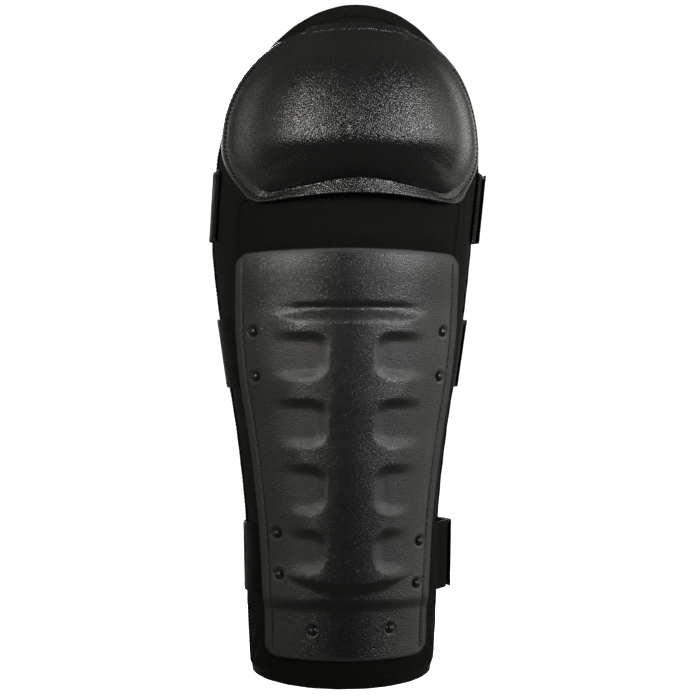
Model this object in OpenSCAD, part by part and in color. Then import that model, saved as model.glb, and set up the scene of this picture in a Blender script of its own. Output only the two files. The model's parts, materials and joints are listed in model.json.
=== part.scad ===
// Knee and shin guard for motorcycle riding.
// A moulded knee cup and a moulded shin shield are sewn to a padded leg wrap, which folds at the
// knee, and three elastic straps close it behind the leg.
// +Z runs up the leg, -Y is the front, and the origin is on the leg's centreline at the knee fold.

/* [Wrap] */
// Height of the wrap above the knee fold
thigh_l = 152; // [144:1:158]
// Length of the wrap below the knee fold
shin_l = 328; // [322:1:336]
// Half the wrap's width at the knee
knee_hw = 96; // [94:1:100]
// Half the wrap's width at the ankle
ankle_hw = 66; // [64:1:70]
// Depth of the wrap at the knee, from its front to its side edges
knee_depth = 80; // [78:1:84]
// Depth of the wrap at the ankle
ankle_depth = 58; // [56:1:62]
// Foam thickness down the middle
pad_t = 10; // [8:0.5:12]
// Foam thickness at the side edges
edge_t = 5; // [4:0.5:6]
// Thickness of the lining
lining_t = 1.2; // [0.8:0.1:1.6]
// Sideways offset of the knee half from the shin half
knee_lean = 4.6; // [0:0.1:5]

/* [Knee cup] */
// Half the cup's width
cup_hw = 94; // [92:0.5:95]
// Height at which the cup is widest
cup_mid = 55; // [52:1:58]
// Distance from the leg's centreline to the front of the cup
cup_depth = 119.5; // [116:0.5:122]
// Wall thickness of the cup
cup_t = 2.4; // [2:0.1:3]

/* [Shin shield] */
// Wall thickness of the shield
shield_t = 2.2; // [1.8:0.1:2.4]
// Height of the raised panel above the shield
raise_h = 3; // [2:0.5:5]
// Depth of the pockets, as a share of the raised panel's height
pocket_d = 0.95; // [0.5:0.05:1]
// Depth of the groove above the raised panel
groove_d = 1.5; // [1:0.1:2]

/* [Bridge panel] */
// Thickness of the padded panel between cup and shield
bridge_t = 6; // [4:0.5:6]

/* [Straps] */
// Width of the strap webbing
strap_w = 50; // [44:1:50]
// Thickness of the webbing
web_t = 1.2; // [1:0.1:1.2]
// Depth of the strap loops behind the leg's centreline
loop_depth = 64; // [60:1:70]

/* [Rivets] */
// Diameter of the rivet heads
head_d = 7; // [6:0.2:8]
// Diameter of the rivet shanks
shank_d = 3; // [2.6:0.1:3.4]

/* [Hidden] */

black_plastic = [0.07, 0.07, 0.075];
black_fabric = [0.05, 0.05, 0.05];
lining_grey = [0.13, 0.13, 0.14];
webbing_black = [0.04, 0.04, 0.045];
rivet_black = [0.09, 0.09, 0.1];
washer_steel = [0.6, 0.6, 0.62];

gap = 0.3;          // air between pieces on different bodies
fold_tilt = -0.475; // how steeply the fold region falls from front to back
fold_top = [-40, 5];      // a point (y, z) on the plane where the fold region starts
fold_low = [-58.9, -34.6]; // a point (y, z) on the plane where it ends
side_phi = 90;      // angle from the front to the wrap's side edges

// ---------- interpolation ----------

// The row of a table that z lies above; rows rise in their first column.
function row_of(z, t, i = 0) = i >= len(t) - 2 || z < t[i + 1][0] ? i : row_of(z, t, i + 1);
function slope_at(t, i, c) =
  let (a = max(i - 1, 0), b = min(i + 1, len(t) - 1))
  (t[b][c] - t[a][c]) / (t[b][0] - t[a][0]);
// Smoothed curve through a table's rows, read from column c.
function curve(z, t, c) =
  let (
    i = row_of(z, t),
    h = t[i + 1][0] - t[i][0],
    u = (z - t[i][0]) / h,
    m0 = slope_at(t, i, c) * h,
    m1 = slope_at(t, i + 1, c) * h
  )
  (2 * u * u * u - 3 * u * u + 1) * t[i][c] + (u * u * u - 2 * u * u + u) * m0
  + (3 * u * u - 2 * u * u * u) * t[i + 1][c] + (u * u * u - u * u) * m1;
function ramp(x) = let (u = max(0, min(1, x))) u * u * (3 - 2 * u);
function mix(a, b, u) = a * (1 - u) + b * u;
function unit(v) = v / norm(v);

// ---------- the leg form: outer face of the wrap ----------

// Height, share of the way from the ankle's half width to the knee's, and the same for depth.
form_rows = [
  [-shin_l - 2, 0, 0], [-275, 0.1, 0.1], [-230, 0.1, 0.2], [-160, 0.32, 0.45], [-90, 0.67, 0.75],
  [-20, 0.95, 0.95], [50, 1, 1], [100, 0.82, 0.97], [thigh_l + 3, 0.62, 0.9]
];
function half_w(z) = mix(ankle_hw, knee_hw, curve(z, form_rows, 1));
function front_d(z) = mix(ankle_depth, knee_depth, curve(z, form_rows, 2));
// How far the form's middle lies to the right of the shin's at height z.
function lean(z) = knee_lean * ramp((z + 22) / 70);
function on_form(phi, z) = [lean(z) + half_w(z) * sin(phi), -front_d(z) * cos(phi), z];
function form_normal(phi, z) =
  unit(cross(
    on_form(phi + 0.5, z) - on_form(phi - 0.5, z),
    on_form(phi, z + 0.5) - on_form(phi, z - 0.5)
  ));
// A point at distance d outside the wrap's outer face.
function lift(phi, z, d) = on_form(phi, z) + d * form_normal(phi, z);
function phi_of(x, z) = asin(max(-1, min(1, (x - lean(z)) / half_w(z))));
// The wrap's y at a given x and z, for a face that stands d outside it.
function form_y(x, z, d) =
  let (a = half_w(z) + d, b = front_d(z) + d, u = (x - lean(z)) / a)
  -b * sqrt(max(0.0001, 1 - u * u));

function foam_t(phi) = mix(edge_t, pad_t, ramp((side_phi - abs(phi)) / 30));
function fold_z(p, phi, z) = p[1] + (-front_d(z) * cos(phi) - p[0]) * fold_tilt;
function fold_top_z(phi) = fold_z(fold_top, phi, 0);
function fold_low_z(phi) = fold_z(fold_low, phi, -35);
function wrap_top_z(phi) = 48 + (thigh_l - 48) * pow(max(cos(phi), 0), 0.95);
function wrap_low_z(phi) = -shin_l + 4 - 7 * cos(phi);

// ---------- closed solids from grids of points ----------

function flat(rows) = [for (r = rows) for (p = r) p];
// Two triangles for each cell of a grid of nu by nv points; flip turns them over.
function cells(nu, nv, start, flip) =
  [for (v = [0:nv - 2], u = [0:nu - 2], half = [0, 1])
    let (
      a = start + v * nu + u,
      b = a + 1,
      c = a + nu,
      d = c + 1,
      f = half == 0 ? [a, c, b] : [b, c, d]
    )
    flip ? [f[0], f[2], f[1]] : f];
// The triangles that join one border of the outer grid to the same border of the inner one.
function border(ids, n) =
  [for (i = [0:len(ids) - 2], half = [0, 1])
    half == 0 ? [ids[i], ids[i] + n, ids[i + 1]] : [ids[i + 1], ids[i] + n, ids[i + 1] + n]];
// A sheet between two grids with the same rows and columns.
module sheet(outer, inner) {
  nu = len(outer[0]);
  nv = len(outer);
  n = nu * nv;
  rim = concat(
    [for (v = [0:nv - 1]) v * nu],
    [for (u = [1:nu - 1]) (nv - 1) * nu + u],
    [for (v = [nv - 2:-1:0]) v * nu + nu - 1],
    [for (u = [nu - 2:-1:0]) u]
  );
  polyhedron(
    points = concat(flat(outer), flat(inner)),
    faces = concat(cells(nu, nv, 0, false), cells(nu, nv, n, true), border(rim, n))
  );
}
// A cap between two sets of closed rings, the first ring of each shrunk to one point.
module cap(outer, inner) {
  nt = len(outer[1]);
  nr = len(outer) - 1;
  n = 1 + nt * nr;
  function id(r, t) = 1 + (r - 1) * nt + t % nt;
  function half_faces(base, flip) =
    [for (f = concat(
        [for (t = [0:nt - 1]) [0, id(1, t), id(1, t + 1)]],
        [for (r = [1:nr - 1], t = [0:nt - 1], half = [0, 1])
          half == 0 ? [id(r, t), id(r + 1, t), id(r, t + 1)]
                    : [id(r, t + 1), id(r + 1, t), id(r + 1, t + 1)]]
      )) flip ? [f[0] + base, f[2] + base, f[1] + base] : f + [base, base, base]];
  edge = [for (t = [0:nt]) id(nr, t)];
  polyhedron(
    points = concat(
      [outer[0][0]], [for (r = [1:nr]) for (p = outer[r]) p],
      [inner[0][0]], [for (r = [1:nr]) for (p = inner[r]) p]
    ),
    faces = concat(half_faces(0, false), half_faces(n, true), border(edge, n))
  );
}
// A patch of the wrap between two heights and two angles, from d_in to d_out outside it.
module patch(phis, z_low, z_high, rows, d_in, d_out) {
  function grid(d) =
    [for (v = [0:rows]) [for (phi = phis) lift(phi, mix(z_low, z_high, v / rows), d)]];
  sheet(grid(d_out), grid(d_in));
}

// ---------- wrap ----------

wrap_phis = [for (i = [-12:12]) i * side_phi / 12];

// low and high list a height, and d_out and d_in a distance outside the form, for each angle.
module wrap_part(low, high, rows, d_out, d_in) {
  function grid(d) =
    [for (v = [0:rows]) [for (i = [0:len(wrap_phis) - 1])
      lift(wrap_phis[i], mix(low[i], high[i], v / rows), d[i])]];
  sheet(grid(d_out), grid(d_in));
}
zeros = [for (phi = wrap_phis) 0];
foam_in = [for (phi = wrap_phis) -foam_t(phi)];
lining_in = [for (phi = wrap_phis) -foam_t(phi) - lining_t];
top_edge = [for (phi = wrap_phis) wrap_top_z(phi)];
fold_top_edge = [for (phi = wrap_phis) fold_top_z(phi)];
fold_low_edge = [for (phi = wrap_phis) fold_low_z(phi)];
low_edge = [for (phi = wrap_phis) wrap_low_z(phi)];

knee_rows = 8;
shin_rows = 12;
module knee_pad()
  color(black_fabric) wrap_part(fold_top_edge, top_edge, knee_rows, zeros, foam_in);
module knee_lining()
  color(lining_grey) wrap_part(fold_top_edge, top_edge, knee_rows, foam_in, lining_in);
module flex_pad() {
  low = [for (z = fold_low_edge) z + gap];
  high = [for (z = fold_top_edge) z - 2 * gap];
  color(black_fabric) wrap_part(low, high, 3, zeros, lining_in);
}
module shin_pad()
  color(black_fabric) wrap_part(low_edge, fold_low_edge, shin_rows, zeros, foam_in);
module shin_lining()
  color(lining_grey) wrap_part(low_edge, fold_low_edge, shin_rows, foam_in, lining_in);

// Tape along an edge of the wrap, given as a list of [angle, height].
tape_t = 1.4;
tape_over = 0.6; // how far it stands past the wrap's faces
tape_gap = 0.5;  // glue line between tape and wrap
module tape(path) {
  last = len(path) - 1;
  function inner_d(i) = -foam_t(path[i][0]) - lining_t - tape_over;
  function at(i, d) = lift(path[i][0], path[i][1], d);
  function away(i) =
    let (
      along = unit(at(min(i + 1, last), 0) - at(max(i - 1, 0), 0)),
      out = form_normal(path[i][0], path[i][1])
    )
    unit(cross(out, along));
  function row(i, off) = [for (d = [inner_d(i), tape_over]) at(i, d) + away(i) * off];
  sheet([for (i = [0:last]) row(i, tape_gap + tape_t)], [for (i = [0:last]) row(i, tape_gap)]);
}
// The side edge from its level i_from to its level i_to, with the heights that wrap_part gives them.
function side_run(sign, low, high, rows, down) =
  [for (i = [1:rows]) [sign * side_phi, mix(low, high, (down ? rows - i : i - 1) / rows)]];
module knee_binding()
  color(black_fabric)
    tape(concat(
      side_run(-1, fold_top_z(side_phi), wrap_top_z(side_phi), knee_rows, false),
      [for (phi = wrap_phis) [phi, wrap_top_z(phi)]],
      side_run(1, fold_top_z(side_phi), wrap_top_z(side_phi), knee_rows, true)
    ));
module shin_binding()
  color(black_fabric)
    tape(concat(
      side_run(1, fold_low_z(side_phi), wrap_low_z(side_phi), shin_rows, false),
      [for (i = [len(wrap_phis) - 1:-1:0]) [wrap_phis[i], wrap_low_z(wrap_phis[i])]],
      side_run(-1, fold_low_z(side_phi), wrap_low_z(side_phi), shin_rows, true)
    ));

// ---------- bridge panel: the padded panel between cup and shield ----------

bridge_phi = 58;   // angle of its side edges
bridge_high = 24;  // height of its top edge, under the cup
bridge_low = -32;  // height of its bottom edge, under the shield
bridge_r = 17;     // rounding of its top corners
bridge_edge = 1.2; // thickness along its edges
function bridge_top_z(phi) =
  let (over = max(0, abs(phi) * 1.6 - (bridge_phi * 1.6 - bridge_r)))
  bridge_high - 2 - (bridge_r - sqrt(max(0, bridge_r * bridge_r - over * over)));
function bridge_thick(phi, z) =
  mix(bridge_edge, bridge_t, (1 - pow(abs(phi) / bridge_phi, 4)) * ramp((z - bridge_low) / 24));
module bridge_panel() {
  phis = [for (i = [-12:12]) bridge_phi * sin(i * 7.5)];
  function grid(front) =
    [for (v = [0:6]) [for (phi = phis)
      let (z = mix(bridge_low, bridge_top_z(phi), v / 6))
      lift(phi, z, front ? bridge_thick(phi, z) : 0.1)]];
  color(black_fabric) sheet(grid(true), grid(false));
}

// ---------- knee cup ----------

cup_crown = [0, 66];     // the point, across from its middle and up, that its rings shrink to
cup_rise = 84;           // height of its outline's top above its widest level
cup_power = 2.25;        // roundness of its outline: 2 is an ellipse
cup_corner = [76, 15];   // its right lower corner, across and up
cup_arch = 19;           // height of the bottom edge's middle
flange_side = 5;         // flange width at the sides
flange_low = 11;         // flange width along the bottom edge
lip_stand = 15;          // how far the bottom edge's middle stands off the wrap
corner_stand = 6.5;      // the same at the lower corners
flange_slope = 4;        // how far the flange rises inwards along the sides and top

// Half of the outline, from the top middle, down the side, to the bottom middle, as [across, up].
function cup_arc(n) =
  [for (i = [0:n])
    let (t = 69 * (1 - i / n))
    [cup_hw * pow(cos(t), 2 / cup_power), cup_mid + cup_rise * pow(sin(t), 2 / cup_power)]];
function cup_side(n) =
  [for (i = [1:n])
    let (u = i / n)
    [mix(cup_hw, cup_corner[0] + 4, pow(u, 1.8)), mix(cup_mid, cup_corner[1] + 7, u)]];
function cup_turn(n) =
  [for (i = [1:n])
    let (t = -20 - 80 * i / n)
    [cup_corner[0] - 7 + 11 * cos(t), cup_corner[1] + 10 + 11 * sin(t)]];
function cup_bottom(n) =
  [for (i = [1:n])
    let (u = i / n)
    [(cup_corner[0] - 9) * (1 - u), mix(cup_corner[1] - 1, cup_arch, sin(90 * u))]];
cup_half = concat(
  [[0, cup_mid + 85.2], [16, cup_mid + 84.6], [32, cup_mid + 82.6]],
  cup_arc(9), cup_side(5), cup_turn(4), cup_bottom(6)
);
cup_outline =
  concat(cup_half, [for (i = [len(cup_half) - 2:-1:1]) [-cup_half[i][0], cup_half[i][1]]]);

// 1 along the bottom edge, 0 along the sides and top
function lowness(p) = ramp((30 - p[1]) / 12) * ramp((88 - abs(p[0])) / 14);
function flange_w(p) = mix(flange_side, flange_low, lowness(p));
// How far the flange's back stands off the wrap.
function stand_off(p) =
  1.2 + lowness(p) * (corner_stand - 1.2
    + (lip_stand - corner_stand) * pow(cos(min(90, abs(p[0]) * 90 / 74)), 1.2));
// A point on the flange, a distance into it from its edge; its lower lip flares forward and the
// rest slopes towards the dome.
function flange_point(p, into) =
  let (
    q = p + unit(cup_crown - p) * into,
    share = into / flange_w(p),
    forward = mix(flange_slope * share, 2.2 * (1 - share), lowness(p))
  )
  [q[0] + knee_lean, form_y(q[0] + knee_lean, q[1], stand_off(p) + cup_t) - forward, q[1]];

// Height, and how far the dome's middle lies behind its front there.
dome_rows = [
  [10, 27], [31, 18], [35, 14.5], [45, 6.5], [52, 1.5], [60, 0], [75, 1.5], [95, 6.5],
  [115, 15.5], [130, 27.5], [138, 39.5], [146, 52]
];
// Height and half width of the dome below its widest level.
dome_low_rows = [[8, 60], [22, 74], [32, 81.5], [42, 86.6], [56, 89]];
function dome_hw(z) =
  z < cup_mid ? lookup(z, dome_low_rows)
  : (cup_hw - flange_side)
    * pow(max(0, 1 - pow((z - cup_mid) / cup_rise, cup_power)), 1 / cup_power);
function dome_y(x, z) =
  let (
    w = max(dome_hw(z), 1),
    back = form_y(w + lean(z), z, 1.2 + cup_t),
    front = curve(z, dome_rows, 1) - cup_depth
  )
  back + (front - back) * pow(max(0, 1 - pow(abs(x) / w, 2.3)), 1 / 2.3);
// The point a share s of the way from the crown to the flange, towards outline point p.
function dome_point(p, s) =
  let (
    f = flange_point(p, flange_w(p)),
    x = mix(cup_crown[0], f[0] - knee_lean, s),
    z = mix(cup_crown[1], f[2], s)
  )
  [x + knee_lean, mix(dome_y(x, z), f[1], pow(s, mix(8, 14, lowness(p)))), z];

dome_shares = [0.14, 0.28, 0.42, 0.54, 0.65, 0.75, 0.84, 0.91, 0.96];
crown_point = [knee_lean, dome_y(0, cup_crown[1]), cup_crown[1]];
cup_rings = concat(
  [[crown_point]],
  [for (s = dome_shares) [for (p = cup_outline) dome_point(p, s)]],
  [[for (p = cup_outline) flange_point(p, flange_w(p))]],
  [[for (p = cup_outline) flange_point(p, 0)]]
);
// The same rings moved a distance d inwards, square to the surface.
function ring_at(rings, r, t) = r == 0 ? rings[0][0] : rings[r][(t + len(rings[1])) % len(rings[1])];
function ring_normal(rings, r, t) =
  unit(cross(
    ring_at(rings, r, t + 1) - ring_at(rings, r, t - 1),
    ring_at(rings, min(r + 1, len(rings) - 1), t) - ring_at(rings, r - 1, t)
  ));
function rings_inside(rings, d) =
  concat(
    [[rings[0][0] + [0, d, 0]]],
    [for (r = [1:len(rings) - 1])
      [for (t = [0:len(rings[1]) - 1]) rings[r][t] - d * ring_normal(rings, r, t)]]
  );
module knee_cup() color(black_plastic) cap(cup_rings, rings_inside(cup_rings, cup_t));

cushion_gap = 0.3;
module cup_cushion() {
  all = rings_inside(cup_rings, cup_t + cushion_gap);
  front = [for (r = [0:7]) all[r]];
  back = [for (ring = front) [for (q = ring) [q[0], form_y(q[0], q[2], 0.4), q[2]]]];
  color(lining_grey) cap(front, back);
}

// ---------- shin shield ----------

shield_top = -18;    // height of its top edge in the middle
shield_low = -311.5; // height of its bottom edge in the middle
shield_r = 9;        // rounding of its corners
seat = 2.6;          // gap between wrap and shield, which holds strap ends and washers
bridge_seat = 4.6;   // the same where the shield covers the bridge panel
low_seat = 1;        // the same along the bottom, below the lower strap
// Height and half width of the shield.
shield_rows = [
  [-312, 56], [-262, 57], [-215, 59.5], [-160, 65.3], [-110, 73], [-70, 76.6], [-20, 75.2]
];
function shield_hw(z) = curve(z, shield_rows, 1);
function corner_cut(x, z) =
  let (over = min(shield_r, max(0, abs(x) - (shield_hw(z) - shield_r))))
  shield_r - sqrt(shield_r * shield_r - over * over);
function shield_top_z(u) = shield_top - 3.5 * u * u - corner_cut(u * shield_hw(-20), -20);
function shield_low_z(u) = shield_low + 2.5 * u * u + corner_cut(u * shield_hw(-305), -305);
function shield_seat(z) =
  seat + (bridge_seat - seat) * ramp((z + 62) / 36) - (seat - low_seat) * ramp((-267 - z) / 9);

panel_top = -62;       // height of the raised panel's straight top
panel_low = -264;      // height of its round bottom
panel_hw = [56, 43];   // its half width at its top and its bottom
function panel_half(z) = mix(panel_hw[0], panel_hw[1], ramp((-z - 90) / 150));
// Distance inside the raised panel's outline, negative outside it.
function panel_in(x, z) =
  let (
    side = panel_half(z) - abs(x),
    head = panel_top - pow(abs(x) / 54, 4) - z,
    foot = z - (panel_low + 12 * pow(abs(x) / 40, 2.4))
  )
  min(side * 0.4, min(head, foot));
// Height of each pair of pockets and half its height.
pockets = [[-93.5, 18], [-141.3, 18.5], [-188.5, 19], [-232.6, 17]];
pocket_x = 14;         // half the width of the rib down the middle
pocket_r = 13;         // rounding of the pockets' corners beside the rib
// 1 on a pocket's floor, 0 outside it.
function pocket(x, z, p) =
  let (
    along = max(0, pocket_x + pocket_r - abs(x)),
    up = max(0, abs(z - p[0]) - (p[1] - pocket_r))
  )
  ramp((pocket_r - sqrt(along * along + up * up)) / 9);
function emboss(x, z) =
  let (
    s = panel_in(x, z),
    floor_share = max([for (p = pockets) pocket(x, z, p)]),
    groove = exp(-(s + 2) * (s + 2) / 8) * ramp((z + 85) / 15) * ramp((54 - abs(x)) / 30)
  )
  raise_h * ramp(s / 9) * (1 - pocket_d * floor_share) - groove_d * groove;
module shield_shell() {
  us = [for (i = [-14:14]) sin(i * 90 / 14) * 0.35 + (i / 14) * 0.65];
  rows = 44;
  function at(u, v, low) =
    let (
      z = mix(shield_low_z(u), shield_top_z(u), v / rows),
      x = u * shield_hw(z),
      d = max(0.4, shield_seat(z) + emboss(x, z))
    )
    lift(phi_of(x, z), z, low ? d : d + shield_t);
  function grid(low) = [for (v = [0:rows]) [for (u = us) at(u, v, low)]];
  sheet(grid(false), grid(true));
}

// ---------- rivets and washers ----------

// Distance from the middle and height of each rivet.
middle_spots = [[-65, -76.5], [-63, -108.5], [65, -76.5], [63, -108.5]];
lower_spots = [[-48, -220.5], [-46.5, -250], [49, -227], [47, -257.5]];
bottom_spots = [[-25, -289.5], [28.5, -288.5]];
hole_clear = 0.2;
washer_t = 0.4;
washer_from = 0.25;  // distance of the washers from the wrap
washer_r = 4.5;

module at_form(spot, d) {
  phi = phi_of(spot[0], spot[1]);
  n = form_normal(phi, spot[1]);
  translate(lift(phi, spot[1], d))
    rotate([0, acos(n[2]), atan2(n[1], n[0])])
      children();
}
module rivet(under) {
  head_from = under + shield_t + 0.15;
  head_h = 1.7;
  sphere_r = (head_d * head_d / 4 + head_h * head_h) / (2 * head_h);
  translate([0, 0, washer_from]) cylinder(d = shank_d, h = head_from, $fn = 32);
  translate([0, 0, head_from])
    intersection() {
      cylinder(d = head_d, h = head_h + 1, $fn = 48);
      translate([0, 0, head_h - sphere_r]) sphere(r = sphere_r, $fn = 64);
    }
}
module rivets(spots, under) color(rivet_black) for (s = spots) at_form(s, 0) rivet(under);
module washers(spots)
  color(washer_steel)
    for (s = spots)
      at_form(s, washer_from)
        difference() {
          cylinder(r = washer_r, h = washer_t, $fn = 48);
          translate([0, 0, -1]) cylinder(d = shank_d + hole_clear, h = washer_t + 2, $fn = 48);
        }
module rivet_holes(spots)
  for (s = spots) at_form(s, -1) cylinder(d = shank_d + 2 * hole_clear, h = 12, $fn = 32);

module shin_shield()
  color(black_plastic)
    difference() {
      shield_shell();
      rivet_holes(middle_spots);
      rivet_holes(lower_spots);
      rivet_holes(bottom_spots);
    }

// ---------- straps ----------

web_in = 1.0;        // distance of the webbing's inner face from the wrap
band_y = 0.6;        // where the free band starts, just behind its anchor's end
turn_y = 6;          // where the loop's round part starts behind the side edges
hook_t = 0.9;
loop_t = 0.6;
patch_gap = 0.3;     // air between hooks and loops
sewn_gap = 0.15;     // air between a patch and the webbing it is sewn to
tab_end = 34;        // how far round the loop, in degrees, each tab reaches
hook_from = 4;       // degrees from the strap's end to its hook patch

// Each strap: lowest height, highest height, bulge of its right side, depth of its loop,
// and the angles at which its anchor and its tab start.
top_run = [-10.5, -10.5 + strap_w + 1, 7, loop_depth - 4, 75, 76];
middle_run = [-117.4, -117.4 + strap_w, 4.5, loop_depth, 39, 39];
lower_run = [-266, -266 + strap_w, 12, loop_depth - 2, 34, 34];

// Half the width that a strap spans at height z: a straight line just outside the wrap's edge.
function strap_hw(run, z) =
  let (
    low = half_w(run[0]),
    high = half_w(run[1]),
    bulge = half_w((run[0] + run[1]) / 2) - (low + high) / 2
  )
  mix(low, high, (z - run[0]) / (run[1] - run[0])) + max(0, bulge);
function strap_lean(run, z) = mix(lean(run[0]), lean(run[1]), (z - run[0]) / (run[1] - run[0]));
// A point on the loop behind the leg, at angle psi from its right end and height z, at distance o
// outside the webbing's inner face.
function loop_point(run, psi, z, o) =
  let (
    left = strap_hw(run, z) + web_in,
    right = strap_hw(run, z) + run[2],
    mid = (right - left) / 2,
    half = (right + left) / 2,
    deep = run[3] - turn_y
  )
  [strap_lean(run, z) + mid + (half + o) * cos(psi), turn_y + (deep + o) * sin(psi), z];
// The left run in front of the loop is straight as far as the hinge.
function strap_line(run, z, o) =
  concat(
    [for (i = [0:30]) loop_point(run, 6 * i, z, o)],
    [for (y = [3, band_y]) [strap_lean(run, z) - strap_hw(run, z) - web_in - o, y, z]]
  );
module strap_band(run) {
  function grid(o) = [for (z = [run[0], run[1]]) strap_line(run, z, o)];
  sheet(grid(web_t), grid(0));
}
// A piece that follows the loop from angle psi_a to psi_b.
module loop_piece(run, psi_a, psi_b, o_in, o_out, inset) {
  steps = ceil(abs(psi_b - psi_a) / 5);
  function grid(o) =
    [for (z = [run[0] + inset, run[1] - inset])
      [for (i = [0:steps]) loop_point(run, mix(psi_a, psi_b, i / steps), z, o)]];
  sheet(grid(o_out), grid(o_in));
}
module anchor(run, spots) {
  phis = [for (i = [0:8]) mix(-run[4], -side_phi, i / 8)];
  phis_up = [for (i = [8:-1:0]) phis[i]];
  color(webbing_black)
    difference() {
      patch(phis_up, run[0], run[1], 4, web_in, web_in + web_t);
      rivet_holes(spots);
    }
}
// The tab leaves the wrap at angle leave, swings out, and follows the loop's inside.
tab_o = -hook_t - patch_gap - loop_t - 2 * sewn_gap;
function bezier(a, b, c, d, u) =
  a * pow(1 - u, 3) + 3 * b * u * pow(1 - u, 2) + 3 * c * u * u * (1 - u) + d * pow(u, 3);
function tab_line(run, z, t) =
  let (
    leave = run[5] > 70 ? 80 : 72,
    o = tab_o - web_t + t,
    start = lift(leave, z, web_in + t),
    along = unit(lift(leave + 1, z, web_in + t) - lift(leave - 1, z, web_in + t)),
    finish = loop_point(run, 0, z, o)
  )
  concat(
    [for (i = [0:5]) lift(mix(run[5], leave, i / 6), z, web_in + t)],
    [for (i = [0:5])
      let (p = bezier(start, start + along * 8, finish - [0, 8, 0], finish, i / 6)) [p[0], p[1], z]],
    [for (i = [0:6]) loop_point(run, tab_end * i / 6, z, o)]
  );
module tab(run, spots) {
  function grid(t) = [for (v = [0:2]) tab_line(run, mix(run[0], run[1], v / 2), t)];
  color(webbing_black)
    difference() {
      sheet(grid(web_t), grid(0));
      rivet_holes(spots);
    }
}
module loop_patch(run)
  color(black_fabric) loop_piece(run, 1, tab_end - 1, tab_o + sewn_gap, tab_o + sewn_gap + loop_t, 2);
module strap(run) color(webbing_black) strap_band(run);
module hook_patch(run)
  color(black_fabric) loop_piece(run, hook_from, tab_end - 1, -sewn_gap - hook_t, -sewn_gap, 3);

function left_of(spots) = [for (s = spots) if (s[0] < 0) s];
function right_of(spots) = [for (s = spots) if (s[0] > 0) s];

// ---------- nodes ----------

knee_cup();
cup_cushion();
knee_pad();
knee_lining();
knee_binding();
bridge_panel();
flex_pad();
shin_shield();
shin_pad();
shin_lining();
shin_binding();
rivets(middle_spots, seat);  // middle_rivets
rivets(lower_spots, seat);  // lower_rivets
rivets(bottom_spots, low_seat);  // bottom_rivets
washers(middle_spots);  // middle_washers
washers(lower_spots);  // lower_washers
washers(bottom_spots);  // bottom_washers
anchor(top_run, []);  // top_anchor
tab(top_run, []);  // top_tab
loop_patch(top_run);  // top_loop_patch
strap(top_run);  // top_strap
hook_patch(top_run);  // top_hook_patch
anchor(middle_run, left_of(middle_spots));  // middle_anchor
tab(middle_run, right_of(middle_spots));  // middle_tab
loop_patch(middle_run);  // middle_loop_patch
strap(middle_run);  // middle_strap
hook_patch(middle_run);  // middle_hook_patch
anchor(lower_run, left_of(lower_spots));  // lower_anchor
tab(lower_run, right_of(lower_spots));  // lower_tab
loop_patch(lower_run);  // lower_loop_patch
strap(lower_run);  // lower_strap
hook_patch(lower_run);  // lower_hook_patch
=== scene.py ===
"""Looks of the knee and shin guard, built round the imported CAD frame."""

import json
import math

import bpy
import numpy as np
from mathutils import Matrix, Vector

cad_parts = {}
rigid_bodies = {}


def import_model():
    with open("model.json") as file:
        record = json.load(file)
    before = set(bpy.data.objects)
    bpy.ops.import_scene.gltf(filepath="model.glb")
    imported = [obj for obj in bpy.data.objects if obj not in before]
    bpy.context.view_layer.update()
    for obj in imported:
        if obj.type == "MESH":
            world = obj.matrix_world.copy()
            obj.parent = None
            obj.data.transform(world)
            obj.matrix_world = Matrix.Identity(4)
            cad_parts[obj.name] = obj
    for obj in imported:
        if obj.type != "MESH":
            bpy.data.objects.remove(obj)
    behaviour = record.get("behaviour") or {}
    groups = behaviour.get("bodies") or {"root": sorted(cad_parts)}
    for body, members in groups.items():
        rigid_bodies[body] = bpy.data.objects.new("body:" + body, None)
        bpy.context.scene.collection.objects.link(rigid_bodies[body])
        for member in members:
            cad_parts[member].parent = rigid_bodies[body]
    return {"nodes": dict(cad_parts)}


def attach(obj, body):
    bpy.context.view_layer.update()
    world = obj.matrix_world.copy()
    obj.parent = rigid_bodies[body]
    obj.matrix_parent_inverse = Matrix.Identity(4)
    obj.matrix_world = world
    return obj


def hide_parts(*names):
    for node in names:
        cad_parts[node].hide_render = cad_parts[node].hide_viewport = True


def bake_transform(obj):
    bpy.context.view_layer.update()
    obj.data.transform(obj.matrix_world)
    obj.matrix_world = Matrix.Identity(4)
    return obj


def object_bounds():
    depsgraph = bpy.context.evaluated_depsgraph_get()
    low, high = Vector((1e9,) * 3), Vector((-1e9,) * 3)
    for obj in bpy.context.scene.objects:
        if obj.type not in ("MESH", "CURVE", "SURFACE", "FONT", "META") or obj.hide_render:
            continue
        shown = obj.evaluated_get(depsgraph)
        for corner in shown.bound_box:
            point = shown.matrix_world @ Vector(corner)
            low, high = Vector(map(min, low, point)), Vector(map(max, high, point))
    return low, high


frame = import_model()
cad_lo, cad_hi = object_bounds()
scene = bpy.context.scene

MM = 0.001

# ---- the leg form, in millimetres and degrees, as in the CAD ----

FORM = np.array([
    [-330, 0, 0], [-275, 0.1, 0.1], [-230, 0.1, 0.2], [-160, 0.32, 0.45], [-90, 0.67, 0.75],
    [-20, 0.95, 0.95], [50, 1, 1], [100, 0.82, 0.97], [155, 0.62, 0.9]])


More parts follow.
